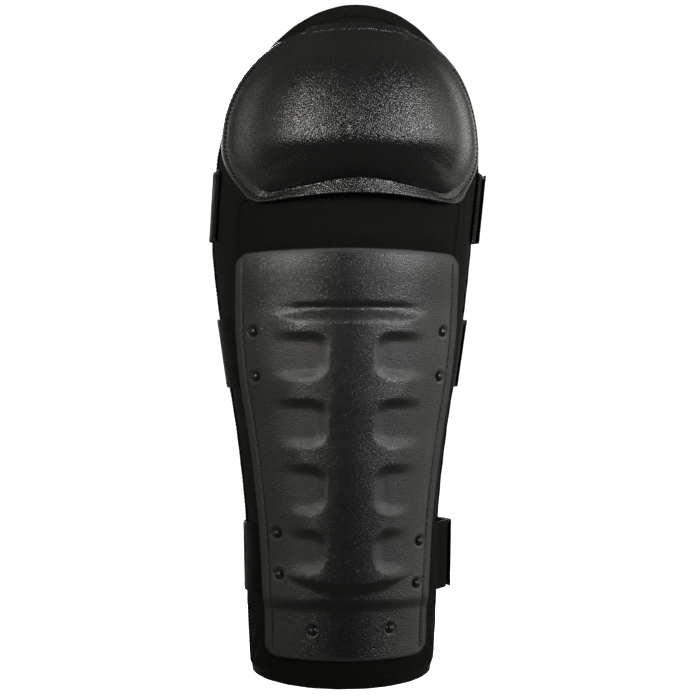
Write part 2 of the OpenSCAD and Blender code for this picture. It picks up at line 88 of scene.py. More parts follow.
def curve(z, t, c=1):
    """Smoothed curve through a table's rows."""
    z = np.asarray(z, float)
    k = np.arange(len(t))
    a, b = np.maximum(k - 1, 0), np.minimum(k + 1, len(t) - 1)
    slope = (t[b, c] - t[a, c]) / (t[b, 0] - t[a, 0])
    i = np.clip(np.searchsorted(t[:, 0], z, side="right") - 1, 0, len(t) - 2)
    h = t[i + 1, 0] - t[i, 0]
    u = (z - t[i, 0]) / h
    return ((2 * u**3 - 3 * u**2 + 1) * t[i, c] + (u**3 - 2 * u**2 + u) * slope[i] * h
            + (3 * u**2 - 2 * u**3) * t[i + 1, c] + (u**3 - u**2) * slope[i + 1] * h)


def ramp(x):
    u = np.clip(x, 0, 1)
    return u * u * (3 - 2 * u)


def mix(a, b, u):
    return a * (1 - u) + b * u


def sind(a):
    return np.sin(np.radians(a))


def cosd(a):
    return np.cos(np.radians(a))


def unit(v):
    return v / np.maximum(np.linalg.norm(v, axis=-1, keepdims=True), 1e-12)


def half_w(z):
    return mix(66, 96, curve(z, FORM, 1))


def front_d(z):
    return mix(58, 80, curve(z, FORM, 2))


LEAN = 4.6
CLOTH_R = 84.0  # turns angles into widths on the flat cloth


def lean(z):
    """How far the form's middle lies to the right of the shin's."""
    return LEAN * ramp((z + 22) / 70)


def on_form(phi, z):
    phi, z = np.broadcast_arrays(np.asarray(phi, float), np.asarray(z, float))
    return np.stack([lean(z) + half_w(z) * sind(phi), -front_d(z) * cosd(phi), z], -1)


def form_normal(phi, z):
    return unit(np.cross(on_form(phi + 0.5, z) - on_form(phi - 0.5, z),
                         on_form(phi, z + 0.5) - on_form(phi, z - 0.5)))


def lift(phi, z, d):
    phi, z, d = np.broadcast_arrays(*[np.asarray(q, float) for q in (phi, z, d)])
    return on_form(phi, z) + d[..., None] * form_normal(phi, z)


def phi_of(x, z):
    return np.degrees(np.arcsin(np.clip((x - lean(z)) / half_w(z), -1, 1)))


def form_y(x, z, d):
    a, b = half_w(z) + d, front_d(z) + d
    return -b * np.sqrt(np.maximum(0.0001, 1 - ((x - lean(z)) / a) ** 2))


def foam_t(phi):
    return mix(5, 10, ramp((90 - np.abs(phi)) / 30))


SIDE_TOP, ARCH, ARCH_POWER = 48.0, 104.0, 0.95


def wrap_top_z(phi):
    return SIDE_TOP + ARCH * np.maximum(cosd(phi), 0) ** ARCH_POWER


def wrap_low_z(phi):
    base = -324 - 7 * cosd(phi)
    side = np.minimum(6, np.radians(90 - np.abs(phi)) * 58)
    return base + 6 - np.sqrt(np.maximum(0, 36 - (6 - side) ** 2))


# ---- smooth random variation ----

def waves(p, size, seed, count=14):
    """A smooth pattern of ripples about one size long, from -1 to 1, the same each run."""
    rng = np.random.default_rng(seed)
    k = rng.normal(size=(count, p.shape[-1]))
    k = k / np.linalg.norm(k, axis=1, keepdims=True) * rng.uniform(0.6, 1.5, (count, 1))
    ph = rng.uniform(0, 2 * np.pi, count)
    total = sum(np.sin((p @ k[i]) * 2 * np.pi / size + ph[i]) for i in range(count))
    return total / math.sqrt(count) / 1.2


def unrolled(phi, z):
    """Lengths round and along the wrap, for the ripples."""
    return np.stack([np.radians(phi) * 80, z], -1)


# ---- meshes ----

def new_object(name, verts, faces):
    me = bpy.data.meshes.new(name)
    me.from_pydata((np.asarray(verts, float) * MM).tolist(), [], faces)
    me.update()
    me.shade_smooth()
    ob = bpy.data.objects.new(name, me)
    scene.collection.objects.link(ob)
    return ob


def quads(nv, nu, base=0, flip=False, wrap_u=False, wrap_v=False):
    v = np.arange(nv if wrap_v else nv - 1)[:, None]
    u = np.arange(nu if wrap_u else nu - 1)[None, :]
    v2, u2 = (v + 1) % nv, (u + 1) % nu
    a, b, c, d = v * nu + u, v * nu + u2, v2 * nu + u2, v2 * nu + u
    f = np.stack([a, b, c, d], -1).reshape(-1, 4) + base
    return (f[:, ::-1] if flip else f).tolist()


def band(a, b, n):
    """Faces between two closed rings of n points that start at a and b."""
    return [[a + t, b + t, b + (t + 1) % n, a + (t + 1) % n] for t in range(n)]


def sheet(name, outer, inner):
    """A closed solid between two grids; u runs to the right and v runs up, seen from outside."""
    nv, nu = outer.shape[:2]
    n = nu * nv
    grid = np.arange(n).reshape(nv, nu)
    rim = [*grid[0], *grid[1:, -1], *grid[-1, -2::-1], *grid[-2:0:-1, 0]]
    faces = quads(nv, nu) + quads(nv, nu, n, True)
    faces += [[int(a), int(a) + n, int(b) + n, int(b)] for a, b in zip(rim, rim[1:] + rim[:1])]
    return new_object(name, np.concatenate([outer.reshape(-1, 3), inner.reshape(-1, 3)]), faces)


def tube(name, rows, closed=False, flip=False):
    """rows is (steps, points round, 3). Ends are capped unless it closes on itself."""
    nv, nu = rows.shape[:2]
    faces = quads(nv, nu, 0, flip, True, closed)
    if not closed:
        first, last = list(range(nu)), [(nv - 1) * nu + i for i in range(nu)]
        faces += [first, last[::-1]] if flip else [first[::-1], last]
    return new_object(name, rows.reshape(-1, 3), faces)


def give(ob, name, values):
    values = np.asarray(values, np.float32)
    kind = "FLOAT_VECTOR" if values.ndim == 2 else "FLOAT"
    a = ob.data.attributes.new(name, kind, "POINT")
    a.data.foreach_set("vector" if values.ndim == 2 else "value", values.ravel())
    return ob


def cloth_uv(ob, u, v):
    """Where each point lies on the flat cloth, in metres."""
    u, v = [np.ravel(q) for q in np.broadcast_arrays(u, v)]
    return give(ob, "flat_uv", np.stack([u, v, 0 * u], -1) * MM)


def points_of(ob):
    co = np.zeros(len(ob.data.vertices) * 3)
    ob.data.vertices.foreach_get("co", co)
    return co.reshape(-1, 3) / MM


def move_points(ob, co):
    ob.data.vertices.foreach_set("co", (co * MM).astype(np.float32).ravel())
    ob.data.update()


def run_of(pts):
    """Distance along a line of points, from its first."""
    return np.concatenate([[0], np.cumsum(np.linalg.norm(np.diff(pts, axis=0), axis=1))])


def resample(pts, step):
    pts = np.asarray(pts, float)
    s = run_of(pts)
    n = max(2, int(round(s[-1] / step)) + 1)
    t = np.linspace(0, s[-1], n)
    return np.stack([np.interp(t, s, pts[:, i]) for i in range(3)], -1)


def stitches(name, lines, pitch, length, r):
    """Threads along lines, each a list of points with the surface normals there."""
    ring, prof = 6, [(-0.5, 0.25), (-0.42, 0.75), (-0.2, 1), (0.2, 1), (0.42, 0.75), (0.5, 0.25)]
    verts, faces = [], []
    for pts, nrm in lines:
        q = resample(pts, pitch)
        s = np.linspace(0, 1, len(q))
        t0 = np.linspace(0, 1, len(pts))
        nn = unit(np.stack([np.interp(s, t0, np.asarray(nrm)[:, i]) for i in range(3)], -1))
        tt = unit(np.gradient(q, axis=0))
        side = unit(np.cross(nn, tt))
        for c, t, m, w in zip(q, tt, nn, side):
            base = len(verts)
            for x, k in prof:
                for j in range(ring):
                    a = 2 * math.pi * j / ring
                    sag = -2.2 * x * x * r
                    verts.append(c + t * x * length + w * math.cos(a) * r * k
                                 + m * (math.sin(a) * r * k * 0.8 + 0.25 * r + sag))
            for i in range(len(prof) - 1):
                faces += band(base + i * ring, base + (i + 1) * ring, ring)
            faces.append([base + j for j in range(ring)])
            faces.append([base + (len(prof) - 1) * ring + j for j in range(ring - 1, -1, -1)])
    return new_object(name, np.array(verts), faces)


# ---- materials ----

class Nodes:
    """Short calls for the nodes of one tree."""

    def __init__(self, tree):
        self.t = tree

    def put(self, socket, value):
        if isinstance(value, bpy.types.NodeSocket):
            self.t.links.new(value, socket)
        else:
            socket.default_value = value

    def node(self, kind, out=0, props=None, at=None, **inputs):
        """Adds a node with its properties and inputs, by place or name; returns an output."""
        n = self.t.nodes.new("ShaderNode" + kind)
        for k, v in (props or {}).items():
            setattr(n, k, v)
        for k, v in {**(at or {}), **inputs}.items():
            self.put(n.inputs[k], v)
        return n.outputs[out]

    def math(self, op, a, b=0.0):
        return self.node("Math", 0, {"operation": op}, {0: a, 1: b})

    def add(self, a, b):
        return self.math("ADD", a, b)

    def mul(self, a, b):
        return self.math("MULTIPLY", a, b)

    def plus(self, a, b, share):
        return self.add(a, self.mul(b, share))

    def place(self):
        return self.node("TexCoord", 3)

    def attr(self, name, out=2):
        return self.node("Attribute", out, {"attribute_name": name})

    def flat(self):
        """Where a point lies on the flat cloth, and its x and y."""
        f = self.attr("flat_uv", 1)
        return f, *self.split(f)[:2]

    def noise(self, vec, scale, detail=4.0, rough=0.55):
        return self.node("TexNoise", Vector=vec, Scale=scale, Detail=detail, Roughness=rough)

    def cell(self, vec, scale, feature="F1", out=0, **more):
        return self.node("TexVoronoi", out, {"feature": feature}, Vector=vec, Scale=scale, **more)

    def range(self, v, a, b, c, d):
        """Turns a to b into c to d, smoothly and no further."""
        return self.node("MapRange", 0, {"interpolation_type": "SMOOTHSTEP"},
                         dict(enumerate((v, a, b, c, d))))

    def split(self, vec):
        n = self.t.nodes.new("ShaderNodeSeparateXYZ")
        self.put(n.inputs[0], vec)
        return n.outputs[0], n.outputs[1], n.outputs[2]

    def join(self, x, y):
        return self.node("CombineXYZ", X=x, Y=y)

    def wave(self, x, period):
        """0 to 1, one crest for each period in metres."""
        s = self.math("SINE", self.mul(x, 2 * math.pi / period))
        return self.add(self.mul(s, 0.5), 0.5)

    def colours(self, fac, a, b):
        a, b = [(*c, 1) if isinstance(c, tuple) else c for c in (a, b)]
        return self.node("Mix", 2, {"data_type": "RGBA"}, {0: fac, 6: a, 7: b})

    def bump(self, height, distance, strength=1.0, normal=None):
        under = {} if normal is None else {"Normal": normal}
        return self.node("Bump", Height=height, Distance=distance, Strength=strength, **under)


class Mat(Nodes):
    """A material of one principled shader."""

    def __init__(self, name):
        self.m = bpy.data.materials.new(name)
        self.m.use_nodes = True
        super().__init__(self.m.node_tree)
        self.t.nodes.clear()
        out = self.t.nodes.new("ShaderNodeOutputMaterial")
        self.b = self.t.nodes.new("ShaderNodeBsdfPrincipled")
        self.t.links.new(self.b.outputs[0], out.inputs[0])

    def set(self, **values):
        names = {"color": "Base Color", "rough": "Roughness", "metal": "Metallic",
                 "spec": "Specular IOR Level", "normal": "Normal", "sheen": "Sheen Weight",
                 "sheen_rough": "Sheen Roughness"}
        for k, v in values.items():
            self.put(self.b.inputs[names[k]], v)
        return self.m


PLASTIC_SPEC = 0.8
WARM_BLACK = (1, 1.02, 0.80)


def grey(v, tint=(1, 1, 1)):
    return tuple(v * t for t in tint)


def warm(v):
    """A grey with the olive cast of the black cloth."""
    return grey(v, WARM_BLACK)


def plastic():
    """Moulded black plastic with a pebbled grain, coarser on the cup, rubbed paler along
    its edges and duller in its recesses."""
    m = Mat("moulded_plastic")
    p = m.place()
    coarse = m.attr("coarse")
    close = m.node("VectorMath", 0, {"operation": "SCALE"}, Vector=p, Scale=m.add(
        m.mul(coarse, -0.10), 1.36))
    pebble = m.noise(close, 900, 1, 0.5)
    cells = m.cell(close, 820, "SMOOTH_F1", Smoothness=0.35)
    fine = m.noise(p, 2200, 2, 0.5)
    swell = m.noise(p, 22, 2)
    grain = m.plus(m.plus(m.mul(pebble, 0.75), cells, -0.9), fine, 0.10)
    grain = m.mul(grain, m.add(m.mul(coarse, 0.27), 0.60))
    normal = m.bump(grain, 0.00036, 1.0, m.bump(swell, 0.0010, 0.4))
    rub = m.mul(m.attr("edge"), m.range(m.noise(p, 420, 5, 0.7), 0.44, 0.66, 0, 1))
    streak = m.noise(m.node("Mapping", Vector=p, Scale=(1, 1, 0.22)), 210, 6, 0.72)
    scuff = m.range(streak, 0.62, 0.78, 0, 1)
    base = m.colours(m.noise(p, 40, 4), grey(0.0016), grey(0.0026, (1, 1, 1.03)))
    base = m.colours(m.mul(rub, 0.5), base, grey(0.022))
    base = m.colours(m.mul(scuff, 0.25), base, grey(0.010))
    rough = m.plus(m.range(pebble, 0.3, 0.7, 0.36, 0.26), coarse, -0.04)
    worn = m.plus(m.mul(rub, 0.10), m.attr("dull"), 0.26)
    rough = m.add(m.plus(rough, scuff, 0.12), worn)
    return m.set(color=base, rough=rough, spec=PLASTIC_SPEC, normal=normal)


def knit():
    """Close black knit: rows of small loops, with slow changes of tone and a little lint."""
    period = 0.0011
    m = Mat("pad_knit")
    f, x, y = m.flat()
    wob = m.mul(m.noise(f, 260, 2), 0.0012)
    rows = m.wave(m.add(y, wob), period)
    lean = m.mul(m.wave(m.add(y, wob), period * 2), 0.5)
    cols = m.wave(m.add(x, m.mul(lean, period)), period * 1.25)
    loops = m.mul(rows, m.add(m.mul(cols, 0.8), 0.2))
    fuzz = m.noise(m.place(), 1900, 4, 0.65)
    normal = m.bump(m.plus(loops, fuzz, 0.5), 0.00028, 0.85,
                    m.bump(m.noise(f, 38, 3), 0.0010, 0.5))
    tone = m.plus(m.mul(loops, 0.5), m.noise(f, 55, 4), 0.5)
    base = m.colours(tone, warm(0.0045), warm(0.0120))
    lint = m.range(m.noise(m.place(), 900, 3, 0.7), 0.74, 0.80, 0, 1)
    base = m.colours(m.mul(lint, 0.35), base, grey(0.05))
    return m.set(color=base, rough=m.range(loops, 0, 1, 0.92, 0.72), spec=0.08, sheen=0.02,
                 sheen_rough=0.5, normal=normal)


def twill():
    """Fine diagonal weave of the bridge panel."""
    m = Mat("twill_cloth")
    f, x, y = m.flat()
    diag = m.wave(m.plus(m.plus(x, y, 0.75), m.noise(f, 160, 2), 0.0010), 0.0017)
    across = m.wave(m.plus(m.mul(x, 0.6), y, -1), 0.0009)
    thread = m.plus(m.mul(diag, 0.75), across, 0.25)
    fuzz = m.noise(m.place(), 2100, 4, 0.6)
    normal = m.bump(m.plus(thread, fuzz, 0.35), 0.00032, 0.9,
                    m.bump(m.noise(f, 45, 3), 0.0010, 0.45))
    tone = m.plus(m.mul(thread, 0.6), m.noise(f, 60, 4), 0.4)
    base = m.colours(tone, warm(0.0012), warm(0.0040))
    return m.set(color=base, rough=m.range(thread, 0, 1, 0.85, 0.6), spec=0.12, sheen=0.015,
                 sheen_rough=0.4, normal=normal)


def air_mesh():
    """Lining of spacer mesh: round openings in a grey knit."""
    m = Mat("spacer_mesh")
    f, x, y = m.flat()
    hole = m.cell(m.join(x, m.mul(y, 0.8)), 420, "F1")
    rim = m.range(hole, 0.12, 0.42, 0, 1)
    fuzz = m.noise(m.place(), 2200, 3)
    base = m.colours(rim, grey(0.004), grey(0.022))
    base = m.colours(m.mul(m.noise(f, 40, 4), 0.5), base, grey(0.014))
    normal = m.bump(m.plus(rim, fuzz, 0.25), 0.0005, 0.9)
    return m.set(color=base, rough=m.range(rim, 0, 1, 0.95, 0.7), spec=0.1, sheen=0.05,
                 sheen_rough=0.5, normal=normal)


def ribbed(name, low, high, rib=0.0014, along=True, strength=0.9, spec=0.1):
    """Woven tape: ribs one way, finer threads the other, and fuzz."""
    m = Mat(name)
    f, x, y = m.flat()
    a, b = (y, x) if along else (x, y)
    ribs = m.wave(m.plus(a, m.noise(f, 300, 2), 0.0003), rib)
    picks = m.wave(b, rib * 0.55)
    shift = m.math("ABSOLUTE", m.plus(ribs, picks, -0.55))
    fuzz = m.noise(m.place(), 2400, 4, 0.65)
    h = m.plus(m.plus(m.mul(ribs, 0.7), shift, 0.5), fuzz, 0.35)
    normal = m.bump(h, 0.00035, strength, m.bump(m.noise(f, 50, 2), 0.0006, 0.4))
    tone = m.plus(m.mul(shift, 0.6), m.noise(f, 90, 4), 0.4)
    base = m.colours(tone, warm(low), warm(high))
    return m.set(color=base, rough=m.range(ribs, 0, 1, 0.85, 0.6), spec=spec, sheen=0.03,
                 sheen_rough=0.4, normal=normal)


def hooks():
    """Rows of stiff hooks on a black ground."""
    m = Mat("hook_tape")
    f, x, y = m.flat()
    dots = m.mul(m.wave(x, 0.0015), m.wave(y, 0.0015))
    tip = m.range(dots, 0.45, 0.9, 0, 1)
    base = m.colours(tip, grey(0.004), grey(0.03))
    base = m.colours(m.mul(m.noise(f, 120, 4), 0.4), base, grey(0.012))
    return m.set(color=base, rough=m.range(tip, 0, 1, 0.7, 0.35), spec=0.3,
                 normal=m.bump(m.plus(tip, m.noise(f, 1500, 3), 0.2), 0.0008, 1.0))


def loops():
    """Soft looped pile."""
    m = Mat("loop_tape")
    p = m.place()
    curl = m.noise(p, 1300, 6, 0.75)
    tuft = m.cell(p, 700, "SMOOTH_F1", Smoothness=0.5)
    h = m.plus(curl, tuft, -0.6)
    base = m.colours(m.range(h, 0, 0.7, 0, 1), grey(0.003), grey(0.02))
    return m.set(color=base, rough=m.range(curl, 0.3, 0.7, 0.98, 0.8), spec=0.05, sheen=0.15,
                 sheen_rough=0.6, normal=m.bump(h, 0.0008, 1.0))


def foam():
    """Open-celled black foam."""
    m = Mat("open_foam")
    p = m.place()
    pore = m.cell(p, 900, "F1")
    h = m.plus(m.range(pore, 0.1, 0.5, 0, 1), m.noise(p, 1500, 3), 0.3)
    base = m.colours(m.range(pore, 0.15, 0.5, 0, 1), grey(0.004), grey(0.018))
    base = m.colours(m.mul(m.noise(p, 45, 3), 0.5), base, grey(0.010))
    return m.set(color=base, rough=m.range(pore, 0, 0.6, 0.98, 0.85), spec=0.06,
                 normal=m.bump(h, 0.0006, 0.9))


def thread():
    """Twisted black sewing thread."""
    m = Mat("sewing_thread")
    p = m.place()
    x, y, z = m.split(p)
    twist = m.wave(m.plus(m.add(x, z), y, 0.6), 0.0007)
    base = m.colours(twist, grey(0.002), grey(0.006))
    base = m.colours(m.mul(m.noise(p, 130, 3), 0.4), base, grey(0.008))
    return m.set(color=base, rough=m.range(twist, 0, 1, 0.7, 0.45), spec=0.14,
                 normal=m.bump(m.plus(twist, m.noise(p, 2600, 3), 0.4), 0.00015, 0.8))


def painted_rivet():
    """Black enamel on a domed head, chipped and rubbed bright here and there."""
    m = Mat("painted_rivet")
    p = m.place()
    chip = m.range(m.noise(p, 900, 5, 0.7), 0.64, 0.72, 0, 1)
    base = m.colours(m.noise(p, 300, 3), grey(0.004), grey(0.010))
    base = m.colours(m.mul(chip, 0.6), base, (0.20, 0.19, 0.18))
    rough = m.plus(m.range(m.noise(p, 650, 4), 0.3, 0.7, 0.16, 0.34), chip, 0.15)
    return m.set(color=base, rough=rough, metal=m.mul(chip, 0.7), spec=0.45,
                 normal=m.bump(m.plus(m.noise(p, 1500, 3), chip, -0.6), 0.00012, 0.6))


def zinc():
    """Spangled zinc plate, stained in places."""
    m = Mat("zinc_plate")
    p = m.place()
    spangle = m.cell(p, 500, "F1", 1)
    base = m.colours(m.noise(p, 260, 4), (0.42, 0.43, 0.45), (0.62, 0.63, 0.64))
    base = m.colours(0.25, base, spangle)
    stain = m.range(m.noise(p, 480, 5, 0.7), 0.55, 0.75, 0, 1)
    base = m.colours(m.mul(stain, 0.5), base, (0.20, 0.18, 0.16))
    return m.set(color=base, metal=0.95, rough=m.range(m.noise(p, 700, 4), 0.3, 0.7, 0.28, 0.5),
                 normal=m.bump(m.noise(p, 1400, 4), 0.0001, 0.6))


MATS = {
    "plastic": plastic(), "pad": knit(), "twill": twill(),
    "lining": air_mesh(), "tape": ribbed("edge_tape", 0.0035, 0.0100, 0.0012, False),
    "webbing": ribbed("elastic_webbing", 0.0030, 0.0085, 0.0016, True, 0.5, 0.05),
    "hooks": hooks(), "loops": loops(), "foam": foam(), "thread": thread(),
    "rivet": painted_rivet(), "zinc": zinc(),
}


def dress(ob, mat, body=None, replaces=()):
    ob.data.materials.clear()
    ob.data.materials.append(MATS[mat])
    if body:
        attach(ob, body)
    if replaces:
        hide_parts(*replaces)
    return ob


def across_knee(ob):
    """Bakes a piece of the wrap's placement into its points."""
    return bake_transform(ob)


def sew(name, lines, pitch, length, r, body=None):
    """Stitches that ride on a body, or have their placement baked in where none is named."""
    ob = dress(stitches(name, lines, pitch, length, r), "thread", body)
    if not body:
        across_knee(ob)


# ---- the wrap ----

def edge_distance(phi, z):
    """Distance in millimetres from the wrap's nearest edge."""
    side = np.radians(90 - np.abs(phi)) * front_d(z)
    step = 0.5
    slope = (wrap_top_z(phi + step) - wrap_top_z(phi - step)) / (
        np.linalg.norm(on_form(phi + step, z) - on_form(phi - step, z), axis=-1))
    top = (wrap_top_z(phi) - z) / np.sqrt(1 + slope**2)
    return np.maximum(0, np.minimum(np.minimum(side, top), z - wrap_low_z(phi)))


SEAM_Z = -275.0
CHANNELS = [-292, -254, -216, -178, -140, -102, 22, 60, 98]


def seam_z(phi):
    """Height of the seam across the wrap's foot."""
    return SEAM_Z + 1.2 * np.sin(np.radians(phi) * 5) - 2.0 * (np.abs(phi) / 90) ** 2


def face_fall(e):
    """Height of the pad's face a distance e inside its edge."""
    return -1.5 * (1 - ramp(e / 10))


def back_fall(e):
    """The same for the lining's face, inwards from its full depth."""
    return -1.0 * (1 - ramp(e / 9))


def full_depth(phi):
    return foam_t(phi) + 1.2


def pad_out(phi, z):
    """How far the pad's cover stands off the form."""
    e = edge_distance(phi, z)
    d = face_fall(e)
    d -= 1.1 * np.exp(-((z - seam_z(phi)) / 1.3) ** 2)
    d += 0.5 * ramp((seam_z(phi) - z) / 8) * ramp(e / 10)
    stick = np.exp(-((z - SEAM_Z - 3) / 5.5) ** 2) * ramp((-phi - 72) / 14)
    d += 1.9 * stick
    d += 0.28 * waves(unrolled(phi, z), 34, 3) * ramp(e / 14)
    corner = ramp((np.abs(phi) - 45) / 25) * ramp((-285 - z) / 20) * ramp(e / 6)
    d += 0.75 * corner * np.sin((z * 0.9 + np.abs(phi) * 1.1) * 0.42)
    fold = np.exp(-((z + 45 - 12 * cosd(phi)) / 20) ** 2) * ramp((np.abs(phi) - 50) / 20)
    d += 0.55 * fold * ramp(e / 8) * np.sin(z * 0.62 + phi * 0.05)
    return d


def lining_in(phi, z):
    """How far inside the form the lining's face lies, drawn in along its sewn channels."""
    e = edge_distance(phi, z)
    d = full_depth(phi)
    pull = sum(np.exp(-((z - c) / 2.4) ** 2) for c in CHANNELS)
    d -= 1.25 * np.minimum(pull, 1) * ramp(e / 12)
    return d + back_fall(e)


t = np.linspace(-90, 90, 101)
phis = 90 * sind(t) * 0.45 + t * 0.55
low_v = np.concatenate([[0, 0.004, 0.012, 0.025, 0.04], np.linspace(0.06, 1, 92)])
high_v = np.concatenate([np.linspace(0, 0.94, 60)[1:], [0.955, 0.972, 0.986, 0.995, 1]])


SPLIT_Z = -60.0


def wrap_z(phi, inset=0.0):
    """Heights of a column of wrap points, bottom to top."""
    low, top = wrap_low_z(phi) + inset, wrap_top_z(phi) - inset
    return np.array([mix(low, SPLIT_Z, v) for v in low_v] + [mix(SPLIT_Z, top, v) for v in high_v])


Z = np.stack([wrap_z(p) for p in phis], 1)
seam_rows = np.array([-281, -279, -277.6, -276.6, -275.8, -275, -274.2, -273.2, -272, -270.5])
Z = np.sort(np.concatenate([Z, np.repeat(seam_rows[:, None], len(phis), 1)]), 0)
PHI = np.tile(phis, (len(Z), 1))

pad = sheet("wrap_pad", lift(PHI, Z, pad_out(PHI, Z)), lift(PHI, Z, -foam_t(PHI) + 0.5))
flat_u = np.radians(PHI) * CLOTH_R
cloth_uv(pad, [flat_u, flat_u], [Z, Z])
dress(pad, "pad", replaces=["knee_pad", "flex_pad", "shin_pad"])
across_knee(pad)

Zl = np.stack([wrap_z(p, 1.2) for p in phis], 1)
PL = np.tile(phis * 0.988, (len(Zl), 1))
quilt = lift(PL, Zl, -lining_in(PL, Zl) + 0.12 * waves(unrolled(PL, Zl), 16, 8))
lining = sheet("wrap_lining", lift(PL, Zl, -foam_t(PL) + 0.45), quilt)
cloth_uv(lining, [np.radians(PL) * 78] * 2, [Zl, Zl])
dress(lining, "lining", replaces=["knee_lining", "shin_lining"])
across_knee(lining)

sewn = []
for c in CHANNELS:
    under = max(0, c + 8 - SIDE_TOP) / ARCH
    reach = min(84, np.degrees(np.arccos(under ** (1 / ARCH_POWER))))
    ph = np.linspace(-reach, reach, 120)
    zz = np.full_like(ph, c)
    sewn.append((lift(ph, zz, -lining_in(ph, zz) - 0.05), -form_normal(ph, zz)))
sew("channel_stitches", sewn, 3.6, 2.6, 0.34)

ph = np.linspace(-86, 86, 200)
sew("seam_stitches", [(lift(ph, seam_z(ph) + o, pad_out(ph, seam_z(ph) + o) + 0.1),
                       form_normal(ph, seam_z(ph))) for o in (3.4, -3.4)], 3.4, 2.4, 0.36)


# ---- binding round the wrap ----

def perimeter():
    """Angle and height round the wrap's edge, clockwise from its lower left, seen from outside."""
    side_low = wrap_low_z(90.0)
    up = np.linspace(side_low, SIDE_TOP, 150)[1:-1]
    top = np.linspace(-90, 90, 150)
    low = 90 * cosd(np.linspace(0, 180, 130))
    path = ([(-90, z) for z in up] + [(p, wrap_top_z(p)) for p in top]
            + [(90, z) for z in up[::-1]] + [(p, wrap_low_z(p)) for p in low])
    pts = np.array(path)
    for _ in range(3):
        pts = (np.roll(pts, 1, 0) + 2 * pts + np.roll(pts, -1, 0)) / 4
    return pts


edge = perimeter()
epos, enorm = on_form(*edge.T), form_normal(*edge.T)
along = unit(np.roll(epos, -1, 0) - np.roll(epos, 1, 0))
for _ in range(4):
    along = unit(np.roll(along, 1, 0) + along * 2 + np.roll(along, -1, 0))
away = unit(np.cross(enorm, along))
run_length = run_of(epos)
deep = full_depth(edge[:, 0])

# The tape's section: the way out from the edge, the face it lies on, and the height over it.
LEG, TAPE_T, SEWN_IN = 8.0, 0.95, 6.3
outer_run = (LEG, LEG - 0.4, 5.5, 3.0, 1.0, 0.0)
inner_run = (LEG - 0.2, 3.0, 0.0)
outline = [(-a, "front", face_fall(a) + (0.25 if a == LEG else TAPE_T)) for a in outer_run]
outline += [(1.1, "mid", 0.85), (1.65, "mid", 0.5), (1.1, "mid", 0.15)]
outline += [(-a, "back", back_fall(a) + (0.25 if a == LEG else TAPE_T)) for a in outer_run[::-1]]
outline += [(-a, "back", back_fall(a) - 0.15) for a in inner_run]
outline += [(0.45, "mid", 0.25), (0.45, "mid", 0.75)]
outline += [(-a, "front", face_fall(a) - 0.15) for a in inner_run[::-1]]

pucker = 0.22 * np.sin(run_length / 3.1) + 0.15 * np.sin(run_length / 7.7 + 1)
rows = []
for a, kind, h in outline:
    if kind == "front":
        n = np.full(len(edge), h) + (pucker * 0.5 if h > 0.2 else 0)
    elif kind == "back":
        n = -deep - h
    else:
        n = mix(-deep, np.zeros(len(edge)), h) - 0.4
    out = np.full(len(edge), a) + (pucker * 0.35 if a > 0.5 else 0)
    rows.append(epos + away * out[:, None] + enorm * n[:, None])
rows = np.stack(rows, 1)
binding = tube("edge_binding", rows, closed=True)
cross = np.concatenate([[0], np.cumsum(np.hypot(np.diff([a for a, _, _ in outline]), 0.8))])
cloth_uv(binding, run_length[:, None], cross)
dress(binding, "tape", replaces=["knee_binding", "shin_binding"])
across_knee(binding)

front_line = epos - away * SEWN_IN + enorm * (face_fall(SEWN_IN) + TAPE_T)
back_line = epos - away * SEWN_IN - enorm * (deep + back_fall(SEWN_IN) + TAPE_T)[:, None]
sew("binding_stitches", [(front_line, enorm), (back_line, -enorm)], 3.0, 2.2, 0.34)


# ---- bridge panel ----

SPAN, DEGREE = 58.0, 1.6  # the bridge's half width in degrees, and a degree's in millimetres
BRIDGE_TOP, BRIDGE_R, UNFILLED = 22.0, 17.0, 0.72


def bridge_top_z(phi):
    over = np.maximum(0, np.abs(phi) * DEGREE - (SPAN * DEGREE - BRIDGE_R))
    return BRIDGE_TOP - (BRIDGE_R - np.sqrt(np.maximum(0, BRIDGE_R**2 - over**2)))


def bridge_thick(phi, z):
    return mix(1.2, 6.0, (1 - (np.abs(phi) / SPAN) ** 4) * ramp((z + 32) / 24))


bphis = SPAN * sind(np.linspace(-90, 90, 89))
BV = np.linspace(0, 1, 33)[:, None]
BP = np.tile(bphis, (33, 1))
BZ = mix(-32, bridge_top_z(BP), BV)
bridge = sheet("bridge_cover", lift(BP, BZ, UNFILLED * bridge_thick(BP, BZ) + 0.15),
               lift(BP, BZ, 0.12))


def swell(ob, pinned, cap, pressure, frames=20):
    """Inflates a piece as cloth, its pinned points held and no point moved further than cap."""
    start = points_of(ob)
    group = ob.vertex_groups.new(name="held")
    for i in np.nonzero(pinned)[0]:
        group.add([int(i)], 1.0, "REPLACE")
    mod = ob.modifiers.new("Cloth", "CLOTH")
    for k, v in dict(vertex_group_mass="held", quality=6, mass=0.15, tension_stiffness=18,
                     compression_stiffness=18, shear_stiffness=9, bending_stiffness=0.6,
                     use_pressure=True, uniform_pressure_force=pressure).items():
        setattr(mod.settings, k, v)
    mod.settings.effector_weights.gravity = 0
    mod.collision_settings.use_collision = False
    mod.point_cache.frame_start, mod.point_cache.frame_end = 1, frames
    for f in range(1, frames + 1):
        scene.frame_set(f)
    moved = points_of(ob.evaluated_get(bpy.context.evaluated_depsgraph_get())) - start
    far = np.linalg.norm(moved, axis=1, keepdims=True)
    moved = moved * np.minimum(1, cap / np.maximum(far, 1e-9))
    ob.modifiers.remove(mod)
    ob.vertex_groups.clear()
    scene.frame_set(1)
    move_points(ob, start + moved)


